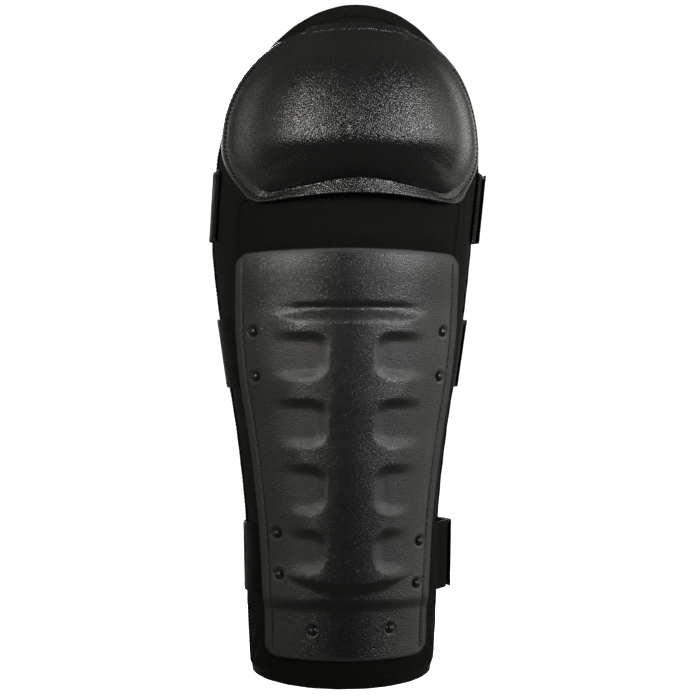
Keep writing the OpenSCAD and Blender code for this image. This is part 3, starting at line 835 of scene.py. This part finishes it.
n_front = BP.size
vv, uu = np.indices(BP.shape)
border = (vv <= 1) | (vv >= 31) | (uu <= 1) | (uu >= 87)
pinned = np.concatenate([border.ravel(), np.ones(n_front, bool)])
swell(bridge, pinned, 2.6, 3.0)
co = points_of(bridge)
ang = phi_of(co[:, 0], co[:, 2])
front_mask = np.arange(len(co)) < n_front
zt = bridge_top_z(ang)
inset = np.minimum((zt - co[:, 2]), (SPAN - np.abs(ang)) * 1.45)
groove = -0.9 * np.exp(-((inset - 5.2) / 1.0) ** 2) * front_mask
nrm = form_normal(ang, co[:, 2])
ripple = 0.30 * waves(unrolled(ang, co[:, 2]), 24, 5) * ramp(inset / 12) * front_mask
co = co + nrm * (groove + ripple)[:, None]
move_points(bridge, co)
cloth_uv(bridge, np.radians(ang) * CLOTH_R, co[:, 2])
dress(bridge, "twill", replaces=["bridge_panel"])
across_knee(bridge)

bl = np.concatenate([np.stack([np.full(20, -54.4), np.linspace(-16, 6, 20)], 1),
                     np.stack([np.linspace(-53.6, 53.6, 110), np.zeros(110)], 1),
                     np.stack([np.full(20, 54.4), np.linspace(6, -16, 20)], 1)])
bl[20:130, 1] = bridge_top_z(bl[20:130, 0]) - 5.2
bt = UNFILLED * bridge_thick(*bl.T) + 0.55
sew("bridge_stitches", [(lift(*bl.T, bt), form_normal(*bl.T))], 2.8, 2.0, 0.3)


# ---- knee cup ----

CUP_HW, CUP_MID, RISE, POWER, CUP_WALL = 94.0, 55.0, 84.0, 2.25, 2.4
CROWN = np.array([0.0, 66.0])
FRONT = -119.5  # the dome's foremost y


def cup_outline():
    """x and z round the cup's edge, clockwise from its top middle, seen from the front."""
    x = np.linspace(0, 32, 10)
    half = [np.stack([x, CUP_MID + 85.2 - 2.6 * (x / 32) ** 2.1], 1),
            [[34.6, 136.7], [36.4, 135.5]]]
    t = 69 * (1 - np.linspace(0, 1, 44))
    half.append(np.stack([CUP_HW * cosd(t) ** (2 / POWER),
                          CUP_MID + RISE * sind(t) ** (2 / POWER)], 1))
    u = np.linspace(0, 1, 17)[1:]
    half.append(np.stack([mix(CUP_HW, 80, u**1.8), mix(CUP_MID, 22, u)], 1))
    t = -20 - 80 * np.linspace(0, 1, 13)[1:]
    half.append(np.stack([69 + 11 * cosd(t), 25 + 11 * sind(t)], 1))
    u = np.linspace(0, 1, 31)[1:]
    half.append(np.stack([67 * (1 - u), mix(14, 19, sind(90 * u))], 1))
    half = np.concatenate([np.asarray(h, float) for h in half])
    return np.concatenate([half, half[-2:0:-1] * [-1, 1]])


def lowness(p):
    """0 along the cup's round edge and 1 along its lower lip."""
    return ramp((30 - p[:, 1]) / 12) * ramp((88 - np.abs(p[:, 0])) / 14)


def flange_w(p):
    return mix(5, 11, lowness(p))


def stand_off(p):
    """How far the flange's back stands off the form."""
    c = np.maximum(0, cosd(np.minimum(90, np.abs(p[:, 0]) * 90 / 74))) ** 1.2
    return 1.2 + lowness(p) * (6.5 - 1.2 + (15 - 6.5) * c)


DOME = np.array([[10, 27], [31, 18], [35, 14.5], [45, 6.5], [52, 1.5], [60, 0], [75, 1.5],
                 [95, 6.5], [115, 15.5], [130, 27.5], [138, 39.5], [146, 52]])
DOME_LOW = np.array([[8, 60], [22, 74], [32, 81.5], [42, 86.6], [56, 89]])


def dome_hw(z):
    high = 89 * np.maximum(0, 1 - (np.maximum(z - CUP_MID, 0) / RISE) ** POWER) ** (1 / POWER)
    return np.where(z < CUP_MID, np.interp(z, DOME_LOW[:, 0], DOME_LOW[:, 1]), high)


def dome_y(x, z):
    w = np.maximum(dome_hw(z), 1)
    back = form_y(w + lean(z), z, 3.6)
    front = curve(z, DOME) + FRONT
    return back + (front - back) * np.maximum(0, 1 - (np.abs(x) / w) ** 2.3) ** (1 / 2.3)


def flange_point(p, into, lift_by=0.0):
    """Points a distance in from the cup's edge, on the flange's face."""
    q = p + unit(CROWN - p) * into[:, None]
    share = into / flange_w(p)
    forward = mix(4 * share, 2.2 * (1 - share), lowness(p))
    x, z = q[:, 0] + LEAN, q[:, 1]
    return np.stack([x, form_y(x, z, stand_off(p) + CUP_WALL + lift_by) - forward, z], 1)


def dome_point(p, s):
    """Points on the dome, a share s of the way from its crown to the flange."""
    f = flange_point(p, flange_w(p))
    x, z = (f[:, 0] - LEAN) * s, mix(CROWN[1], f[:, 2], s)
    power = mix(8, 14, lowness(p))
    return np.stack([x + LEAN, mix(dome_y(x, z), f[:, 1], s**power), z], 1)


ring0 = cup_outline()
shares = np.concatenate([np.linspace(0.03, 0.84, 34),
                         [0.865, 0.89, 0.91, 0.93, 0.945, 0.96, 0.972, 0.982, 0.991]])
rings = [dome_point(ring0, s) for s in shares]
w0 = flange_w(ring0)
for k in (1.0, 0.86, 0.7, 0.55, 0.4, 0.28, 0.16, 0.08):
    groove = 0.55 * math.exp(-((k - 0.45) / 0.13) ** 2)
    side_only = 1 - lowness(ring0) * (np.abs(ring0[:, 0]) < 62)
    rings.append(flange_point(ring0, w0 * k, -groove * side_only))
rings.append(flange_point(ring0, w0 * 0.02, -0.35))
rings.append(flange_point(ring0, w0 * 0.0, -0.9))
outer = np.stack(rings)


def ring_normals(r):
    du = np.roll(r, -1, 1) - np.roll(r, 1, 1)
    dv = np.concatenate([r[1:2] - r[0:1], r[2:] - r[:-2], r[-1:] - r[-2:-1]])
    return unit(np.cross(du, dv))


nrm = ring_normals(outer)
flat_n = nrm.copy()
flat_n[-6:] = nrm[-7]
inner = outer - CUP_WALL * flat_n
inner[-1] = outer[-1] - 0.9 * flat_n[-1]
inner[-2] = outer[-2] - 1.5 * flat_n[-2]
crown_out = np.array([[LEAN, dome_y(0.0, CROWN[1]), CROWN[1]]])
nr, nt = outer.shape[:2]
verts = np.concatenate([crown_out, *outer, crown_out + [[0, CUP_WALL, 0]], *inner])


def ring_faces(base, flip):
    f = [[base, base + 1 + t, base + 1 + (t + 1) % nt] for t in range(nt)]
    for r in range(nr - 1):
        f += band(base + 1 + r * nt, base + 1 + (r + 1) * nt, nt)
    return [x[::-1] for x in f] if flip else f


n_half = 1 + nr * nt
last = 1 + (nr - 1) * nt
rim = band(last, n_half + last, nt)
cup = new_object("knee_cup_shell", verts, ring_faces(0, True) + ring_faces(n_half, False)
                 + [r[::-1] for r in rim])
edge_share = np.zeros((nr, nt))
edge_share[-3:] = [[0.4], [1], [1]]
one = np.concatenate([[0], edge_share.ravel()])
give(cup, "edge", np.concatenate([one, one]))
give(cup, "coarse", np.ones(2 * len(one)))
dress(cup, "plastic", "knee", ["knee_cup"])

keep = (np.abs(ring0[:, 0]) > 58) & (ring0[:, 1] < 112)
stitch_at = flange_point(ring0, w0 * 0.45, -0.15)
stitch_n = nrm[-6]
halves = [keep & (ring0[:, 0] * side > 0) for side in (1, -1)]
sew("cup_stitches", [(stitch_at[h], stitch_n[h]) for h in halves], 3.4, 2.5, 0.42, "knee")

hollow = outer[: 36: 3] - 2.75 * nrm[: 36: 3]
back = hollow.copy()
back[..., 1] = form_y(hollow[..., 0], hollow[..., 2], 0.5)
hollow[..., 1] += np.abs(0.5 * waves(hollow, 30, 11)) + 0.3
cushion_rows = [*hollow, *[mix(hollow[-1], back[-1], t) for t in (0.35, 0.7)], *back[::-1]]
cushion = tube("cup_cushion_foam", np.stack(cushion_rows), flip=True)
dress(cushion, "foam", "knee", ["cup_cushion"])


# ---- shin shield ----

SHIELD = np.array([[-312, 56], [-262, 57], [-215, 59.5], [-160, 65.3], [-110, 73], [-70, 76.6],
                   [-20, 75.2]])
SPOTS = {"middle": [(-65, -76.5), (-63, -108.5), (65, -76.5), (63, -108.5)],
         "lower": [(-48, -220.5), (-46.5, -250), (49, -227), (47, -257.5)],
         "bottom": [(-25, -289.5), (28.5, -288.5)]}


SHIELD_WALL, CORNER, SEAM_IN = 2.2, 9.0, 5.1


def shield_hw(z):
    return curve(z, SHIELD)


def corner_cut(x, z):
    over = np.clip(np.abs(x) - (shield_hw(z) - CORNER), 0, CORNER)
    return CORNER - np.sqrt(CORNER**2 - over**2)


def top_line(u):
    return -18 - 3.5 * u * u


def low_line(u):
    return -311.5 + 2.5 * u * u


def shield_seat(z):
    """Height of the shield's back over the form."""
    return 2.6 + 2.0 * ramp((z + 62) / 36) - 1.6 * ramp((-267 - z) / 9)


def panel_in(x, z):
    """Distance inside the raised panel's outline, shortened at its gently sloping sides."""
    side = mix(56, 43, ramp((-z - 90) / 150)) - np.abs(x)
    head = -62 - (np.abs(x) / 54) ** 4 - z
    foot = z - (-264 + 12 * (np.abs(x) / 40) ** 2.4)
    return np.minimum(side * 0.4, np.minimum(head, foot))


def pocket(x, z, c, h):
    """1 on the floor of the pair of pockets at height c, each 2h high, and 0 outside."""
    run = np.maximum(0, 27 - np.abs(x))
    up = np.maximum(0, np.abs(z - c) - (h - 13))
    return ramp((13 - np.hypot(run, up)) / 9)


def pockets(x, z):
    return np.maximum.reduce([pocket(x, z, c, h) for c, h in
                              [(-93.5, 18), (-141.3, 18.5), (-188.5, 19), (-232.6, 17)]])


def emboss(x, z):
    """Height of the raised panel, with its pockets and the groove round it."""
    s = panel_in(x, z)
    groove = np.exp(-((s + 2) ** 2) / 8) * ramp((z + 85) / 15) * ramp((54 - np.abs(x)) / 30)
    return 3 * ramp(s / 9) * (1 - 0.95 * pockets(x, z)) - 1.5 * groove


def outline_distance(x, z, u):
    """Distance inside the shield's outline, its round corners counted."""
    hw = shield_hw(z)
    side = hw - np.abs(x)
    top, low = top_line(u) - z, z - low_line(u)
    e = np.minimum(side, np.minimum(top, low))
    for other in (top, low):
        a, b = CORNER - side, CORNER - other
        e = np.where((a > 0) & (b > 0), CORNER - np.hypot(np.maximum(a, 0), np.maximum(b, 0)), e)
    return np.maximum(e, 0)


# Distances of the side columns from the shield's edge, and the rows' shares of its height.
NEAR = np.array([0, 0.25, 0.6, 1, 1.5, 2.2, 3, 3.7, 4.2, 4.6, 5, 5.4, 5.8, 6.3, 7, 8, 9.2])
rows_v = np.concatenate([[0, 0.0010, 0.0025, 0.0045, 0.008], np.linspace(0.0125, 0.9875, 206),
                         [0.992, 0.9955, 0.9975, 0.999, 1]])


def shield_grid():
    """x and z of the shield's points: side columns at set distances, the rest spread between."""
    columns = ([(-1, e) for e in NEAR] + [(0, k) for k in np.linspace(-1, 1, 88)[1:-1]]
               + [(1, e) for e in NEAR[::-1]])
    X, Zs = [], []
    for kind, val in columns:
        u_top, u_low = [kind * (1 - val / w) if kind else val * (1 - NEAR[-1] / w)
                        for w in SHIELD[[-1, 0], 1]]
        zt = top_line(u_top) - corner_cut(u_top * shield_hw(-20.0), -20.0)
        zl = low_line(u_low) + corner_cut(u_low * shield_hw(-305.0), -305.0)
        z = mix(zl, zt, rows_v)
        hw = shield_hw(z)
        X.append(kind * (hw - val) if kind else val * (hw - NEAR[-1]))
        Zs.append(z)
    return np.stack(X, 1), np.stack(Zs, 1)


SX, SZ = shield_grid()
SU = SX / shield_hw(SZ)
E = outline_distance(SX, SZ, SU)
body = shield_seat(SZ) + emboss(SX, SZ)
sides = ramp((top_line(SU) - 5 - SZ) / 5) * ramp((SZ - low_line(SU) - 2) / 4)
inside = np.minimum(shield_hw(SZ) - np.abs(SX), 30)
rim_up = 0.30 * ramp(inside / 0.8) * (1 - ramp((inside - 3.0) / 1.8))
trench = -0.55 * np.exp(-((inside - SEAM_IN) / 0.80) ** 2)
detail = (rim_up + trench) * sides
round_off = np.where(E < 1.1, 1.1 - np.sqrt(np.maximum(0, 1.21 - (1.1 - E) ** 2)), 0)
for spots in SPOTS.values():
    for sx, sz in spots:
        r = np.hypot((SX - sx) * 1.25, SZ - sz)
        dent = 0.50 * (1 - ramp((r - 3.9) / 1.1))
        detail = detail - dent + 0.22 * np.exp(-((r - 5.4) / 0.7) ** 2)
uneven = 0.10 * waves(np.stack([SX, SZ], -1), 46, 21)
d_out = np.maximum(0.4, body) + SHIELD_WALL + detail - round_off + uneven
d_in = np.maximum(0.4, body) + 0.25 * np.where(E < 1.1, 1 - E / 1.1, 0)
SP = phi_of(SX, SZ)
shield = sheet("shin_shield_shell", lift(SP, SZ, d_out), lift(SP, SZ, d_in))
dull = np.maximum(np.exp(-((inside - 4.4) / 2.2) ** 2) * sides, 1 - ramp((E - 1.5) / 2.5))
dull = np.maximum(dull, 0.65 * pockets(SX, SZ) * ramp((panel_in(SX, SZ) + 3) / 9))
for name, share in (("edge", 1 - ramp(E / 1.4)), ("dull", dull)):
    give(shield, name, np.ravel([share, 0 * share]))
dress(shield, "plastic", "shin", ["shin_shield"])

lines = []
for side in (-1, 1):
    z = np.linspace(-303, -27, 240)
    x = side * (shield_hw(z) - SEAM_IN)
    wig = side * 0.45 * np.sin(z * 2 * np.pi / 6.4)
    d = np.maximum(0.4, shield_seat(z) + emboss(x, z)) + SHIELD_WALL - 0.55
    lines.append((lift(phi_of(x + wig, z), z, d), form_normal(phi_of(x, z), z)))
sew("shield_stitches", lines, 3.2, 2.7, 0.46, "shin")


# ---- rivets and washers keep their CAD shapes ----

for name, mat in (("rivets", "rivet"), ("washers", "zinc")):
    for place in ("middle", "lower", "bottom"):
        node = frame["nodes"][place + "_" + name]
        node.data.materials.clear()
        node.data.materials.append(MATS[mat])
        node.data.shade_smooth()
        node.data.set_sharp_from_angle(angle=math.radians(40))


# ---- straps ----

WEB_IN, WEB_T = 1.0, 1.2
HOOK_T, LOOP_T, AIR, SEWN = 0.9, 0.6, 0.3, 0.15
TAB_O = -HOOK_T - AIR - LOOP_T - 2 * SEWN
RUNS = {
    "top": dict(low=-10.5, high=40.5, bulge=7.0, deep=60.0, start=75.0, tab=76.0, leave=80.0,
                parent="knee", body="strap_top"),
    "middle": dict(low=-117.4, high=-67.4, bulge=4.5, deep=64.0, start=39.0, tab=39.0, leave=72.0,
                   parent="shin", body="strap_mid"),
    "lower": dict(low=-266.0, high=-216.0, bulge=12.0, deep=62.0, start=34.0, tab=34.0, leave=72.0,
                  parent="shin", body="strap_low"),
}


def strap_hw(r, z):
    low, high = half_w(r["low"]), half_w(r["high"])
    bulge = half_w((r["low"] + r["high"]) / 2) - (low + high) / 2
    return mix(low, high, (z - r["low"]) / (r["high"] - r["low"])) + max(0.0, float(bulge))


def strap_lean(r, z):
    return mix(lean(r["low"]), lean(r["high"]), (z - r["low"]) / (r["high"] - r["low"]))


def loop_point(r, psi, z, o):
    """Points on a strap's loop behind the leg, psi degrees round from its right end."""
    left, right = strap_hw(r, z) + WEB_IN, strap_hw(r, z) + r["bulge"]
    mid, half = (right - left) / 2, (right + left) / 2
    x = strap_lean(r, z) + mid + (half + o) * cosd(psi)
    y = 6 + (r["deep"] - 6 + o) * sind(psi)
    return np.stack(np.broadcast_arrays(x, y, z), -1)


def band_section(r, t):
    """Height and thickness round a strap's section, with soft edges and a slight crown."""
    low, high = r["low"], r["high"]
    k = np.linspace(0, 1, 18)
    z = mix(low + 0.35, high - 0.35, k)
    crown = 0.10 * np.sin(np.pi * k) + 0.12 * np.exp(-((k - 0.06) / 0.03) ** 2) + 0.12 * np.exp(
        -((k - 0.94) / 0.03) ** 2)
    zs = np.concatenate([z, [high], z[::-1], [low]])
    os = np.concatenate([t - 0.12 + crown, [t * 0.5], 0.0 * z, [t * 0.5]])
    return zs, os


def ribbon(name, rows, zs, flip=False):
    ob = tube(name, rows, flip=flip)
    return cloth_uv(ob, run_of(rows.mean(1))[:, None], zs)


def strap_rows(r, zs, os):
    """The strap from its riveted end, round the left edge and along the loop."""
    z, o = zs[None, :], os[None, :]
    a = lift(-np.linspace(r["start"], 90, 26)[:, None], z, WEB_IN + o)
    parts = [a]
    for y in (0.7, 1.6, 3.0, 4.5):
        x = strap_lean(r, z) - (strap_hw(r, z) + WEB_IN + o)
        parts.append(np.stack([x, np.full_like(x, y), z + 0 * x], -1))
    parts.append(loop_point(r, np.linspace(180, 0, 100)[:, None], z, o))
    return np.concatenate(parts)


def bezier(a, b, c, d, u):
    return a * (1 - u) ** 3 + 3 * b * u * (1 - u) ** 2 + 3 * c * u * u * (1 - u) + d * u**3


def tab_rows(r, zs, os):
    """The tab from its riveted end to inside the strap's closing end."""
    z, t = zs[None, :], os[None, :]
    o = TAB_O - WEB_T + t
    a = lift(np.linspace(r["tab"], r["leave"], 26)[:-1, None], z, WEB_IN + t)
    s = lift(r["leave"], z, WEB_IN + t)
    way = unit(lift(r["leave"] + 1, z, WEB_IN + t) - lift(r["leave"] - 1, z, WEB_IN + t))
    e = loop_point(r, 0.0, z, o)
    parts = [a]
    for u in np.linspace(0, 1, 17)[:-1]:
        p = bezier(s, s + way * 8, e - np.array([0, 8, 0]), e, u)
        p[..., 2] = np.broadcast_to(z, p.shape[:-1])
        parts.append(p)
    parts.append(loop_point(r, np.linspace(0, 34, 24)[:, None], z, o))
    return np.concatenate(parts)


def patch(name, r, psi_a, psi_b, o_in, o_out, inset, rough_out, seed):
    """A piece of hook or loop tape, uneven on the face that meets the other."""
    psi = np.linspace(psi_a, psi_b, 46)[None, :]
    z = np.linspace(r["low"] + inset, r["high"] - inset, 40)[:, None]
    psi, z = np.broadcast_arrays(psi, z)
    rng = np.random.default_rng(seed)
    fuzz = rng.uniform(-0.12, 0.06, psi.shape)
    o1, o0 = (o_out + fuzz, o_in + 0 * z) if rough_out else (o_out + 0 * z, o_in - fuzz)
    ob = sheet(name, loop_point(r, psi, z, o1), loop_point(r, psi, z, o0))
    u = np.radians(psi) * 60
    return cloth_uv(ob, [u, u], [z, z])


def loop_normal(r, psi, z):
    p = loop_point(r, psi + 0.5, z, 0.0) - loop_point(r, psi - 0.5, z, 0.0)
    return unit(np.cross(p, np.broadcast_to([0.0, 0.0, 1.0], p.shape)))


def box_lines(r, a0, a1, z0, z1):
    """The four sides of a box sewn through a strap's closing end, from angle a0 to a1."""
    corners = [(a0, z0), (a1, z0), (a1, z1), (a0, z1), (a0, z0)]
    lines = []
    for (a, b), (c, d) in zip(corners, corners[1:]):
        psi, z = np.linspace(a, c, 14), np.linspace(b, d, 14)
        lines.append((loop_point(r, psi, z, WEB_T + 0.1), loop_normal(r, psi, z)))
    return lines


for key, r in RUNS.items():
    zs, os = band_section(r, WEB_T)
    strap = ribbon(key + "_strap_web", strap_rows(r, zs, os), zs)
    dress(strap, "webbing", replaces=[key + "_anchor", key + "_strap"])
    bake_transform(strap)
    tab = ribbon(key + "_tab_web", tab_rows(r, zs, os), zs, flip=True)
    dress(tab, "webbing", r["parent"], [key + "_tab"])
    loop = patch(key + "_loop_pile", r, 1, 33, TAB_O + SEWN, TAB_O + SEWN + LOOP_T, 2, True, 31)
    dress(loop, "loops", r["parent"], [key + "_loop_patch"])
    hook = patch(key + "_hook_pile", r, 4, 33, -SEWN - HOOK_T, -SEWN, 3, False, 32)
    dress(hook, "hooks", r["body"], [key + "_hook_patch"])
    sew(key + "_strap_stitches", box_lines(r, 5.5, 31.5, r["low"] + 4.5, r["high"] - 4.5),
        3.0, 2.2, 0.36, r["body"])
    if key == "top":
        z = np.linspace(r["low"] + 3, r["high"] - 3, 20)
        sew("top_anchor_stitches", [(lift(ph, z, WEB_IN + WEB_T + 0.1), form_normal(ph, z))
                                    for ph in (-76.8, -79.0, 77.2, 79.0)], 2.6, 2.0, 0.36, "knee")


# ---- stage, lights and camera ----

def stage_material():
    """Glowing white, for a floor and backdrop that only the camera sees."""
    m = Mat("studio_floor")
    p = m.place()
    base = m.colours(m.noise(p, 3, 2), grey(0.55), grey(0.60))
    m.b.inputs["Emission Color"].default_value = (1, 1, 1, 1)
    m.b.inputs["Emission Strength"].default_value = 1.1
    return m.set(color=base, rough=m.range(m.noise(p, 9, 2), 0.3, 0.7, 0.8, 0.9), spec=0.1,
                 normal=m.bump(m.noise(p, 200, 3), 0.0002, 0.2))


floor_z = min(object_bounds()[0].z, cad_lo.z) / MM - 1.0
FLOOR, WALL = 9000.0, 7000.0
floor = new_object("studio_floor", [[x * FLOOR, y * FLOOR, floor_z] for x, y in
                                    ((-1, -1), (1, -1), (1, 1), (-1, 1))], [[0, 1, 2, 3]])
floor.data.materials.append(stage_material())
floor.visible_glossy = floor.visible_diffuse = False

turn = np.radians(np.arange(0, 360, 5))
wall = np.stack([[WALL * np.cos(turn), WALL * np.sin(turn), np.full(72, h)]
                 for h in (floor_z, WALL)])
backdrop = new_object("studio_backdrop", wall.transpose(0, 2, 1).reshape(-1, 3),
                      quads(2, 72, wrap_u=True) + [list(range(72, 144))])
backdrop.data.materials.append(stage_material())
for kind in ("glossy", "diffuse", "shadow"):
    setattr(backdrop, "visible_" + kind, False)


def stand(ob, azimuth, elevation, distance, aim):
    """Puts a light or camera at angles in degrees from the front, turned to its aim."""
    scene.collection.objects.link(ob)
    a, e = math.radians(azimuth), math.radians(elevation)
    back = Vector((math.sin(a) * math.cos(e), -math.cos(a) * math.cos(e), math.sin(e)))
    ob.location = Vector(aim) + back * distance
    ob.rotation_mode = "QUATERNION"
    ob.rotation_quaternion = (-back).to_track_quat("-Z", "Y")


def softbox(name, azimuth, elevation, distance, width, height, radiance, colour=(1, 1, 1),
            aim=(0, -0.05, 0.08), spread=42):
    light = bpy.data.lights.new(name, "AREA")
    light.shape = "RECTANGLE"
    light.size, light.size_y = width, height
    light.energy = radiance * math.pi * width * height
    light.color = colour
    light.spread = math.radians(spread)
    ob = bpy.data.objects.new(name, light)
    stand(ob, azimuth, elevation, distance, aim)
    ob.visible_camera = False


softbox("left_softbox", -41, 7.4, 1.3, 0.46, 0.43, 1.22, (1, 0.975, 0.91))
softbox("right_softbox", 42, 7.2, 1.3, 0.60, 0.43, 1.1)
softbox("back_softbox", 180, 22, 1.9, 1.0, 0.7, 3.6, aim=(0, 0, -0.09), spread=60)

world = bpy.data.worlds.new("studio")
scene.world = world
world.use_nodes = True


def sky():
    """Bright behind and beside the object, darker overhead, below and in front."""
    m = Nodes(world.node_tree)
    x, y, z = m.split(m.node("TexCoord", 0))
    behind = m.range(y, 0.78, 0.97, 0.04, m.range(x, -0.3, 0.3, 1.5, 2.6))
    beside = m.mul(m.range(m.math("ABSOLUTE", x), 0.66, 0.92, 0.0, 1.0),
                   m.mul(m.range(x, -0.2, 0.2, 0.50, 1.30), m.range(z, -0.21, -0.08, 0.12, 1.0)))
    level = m.range(z, 0.25, 0.75, 1.0, 0.0)
    steep = m.math("ABSOLUTE", m.add(z, -0.06))
    above = m.range(steep, 0.20, 0.80, 0.0, m.range(z, -0.1, 0.1, 0.07, 0.18))
    background = m.t.nodes["Background"]
    m.put(background.inputs[1], m.add(m.mul(m.add(behind, beside), level), above))
    m.put(background.inputs[0], (1, 0.985, 0.92, 1))


sky()
scene.view_settings.view_transform = "Standard"
scene.view_settings.look = "None"

cam_data = bpy.data.cameras.new("camera")
cam = bpy.data.objects.new("camera", cam_data)
cam_data.sensor_width = 36
cam_data.lens = 107.1
CAM_TURN, CAM_SHIFT = -5.5, 0.0065
side = Vector((cosd(CAM_TURN), sind(CAM_TURN), 0))
stand(cam, CAM_TURN, 0, 1.540, Vector((0, 0, -0.090)) + side * CAM_SHIFT)
cam_data.clip_start, cam_data.clip_end = 0.02, 60
scene.camera = cam
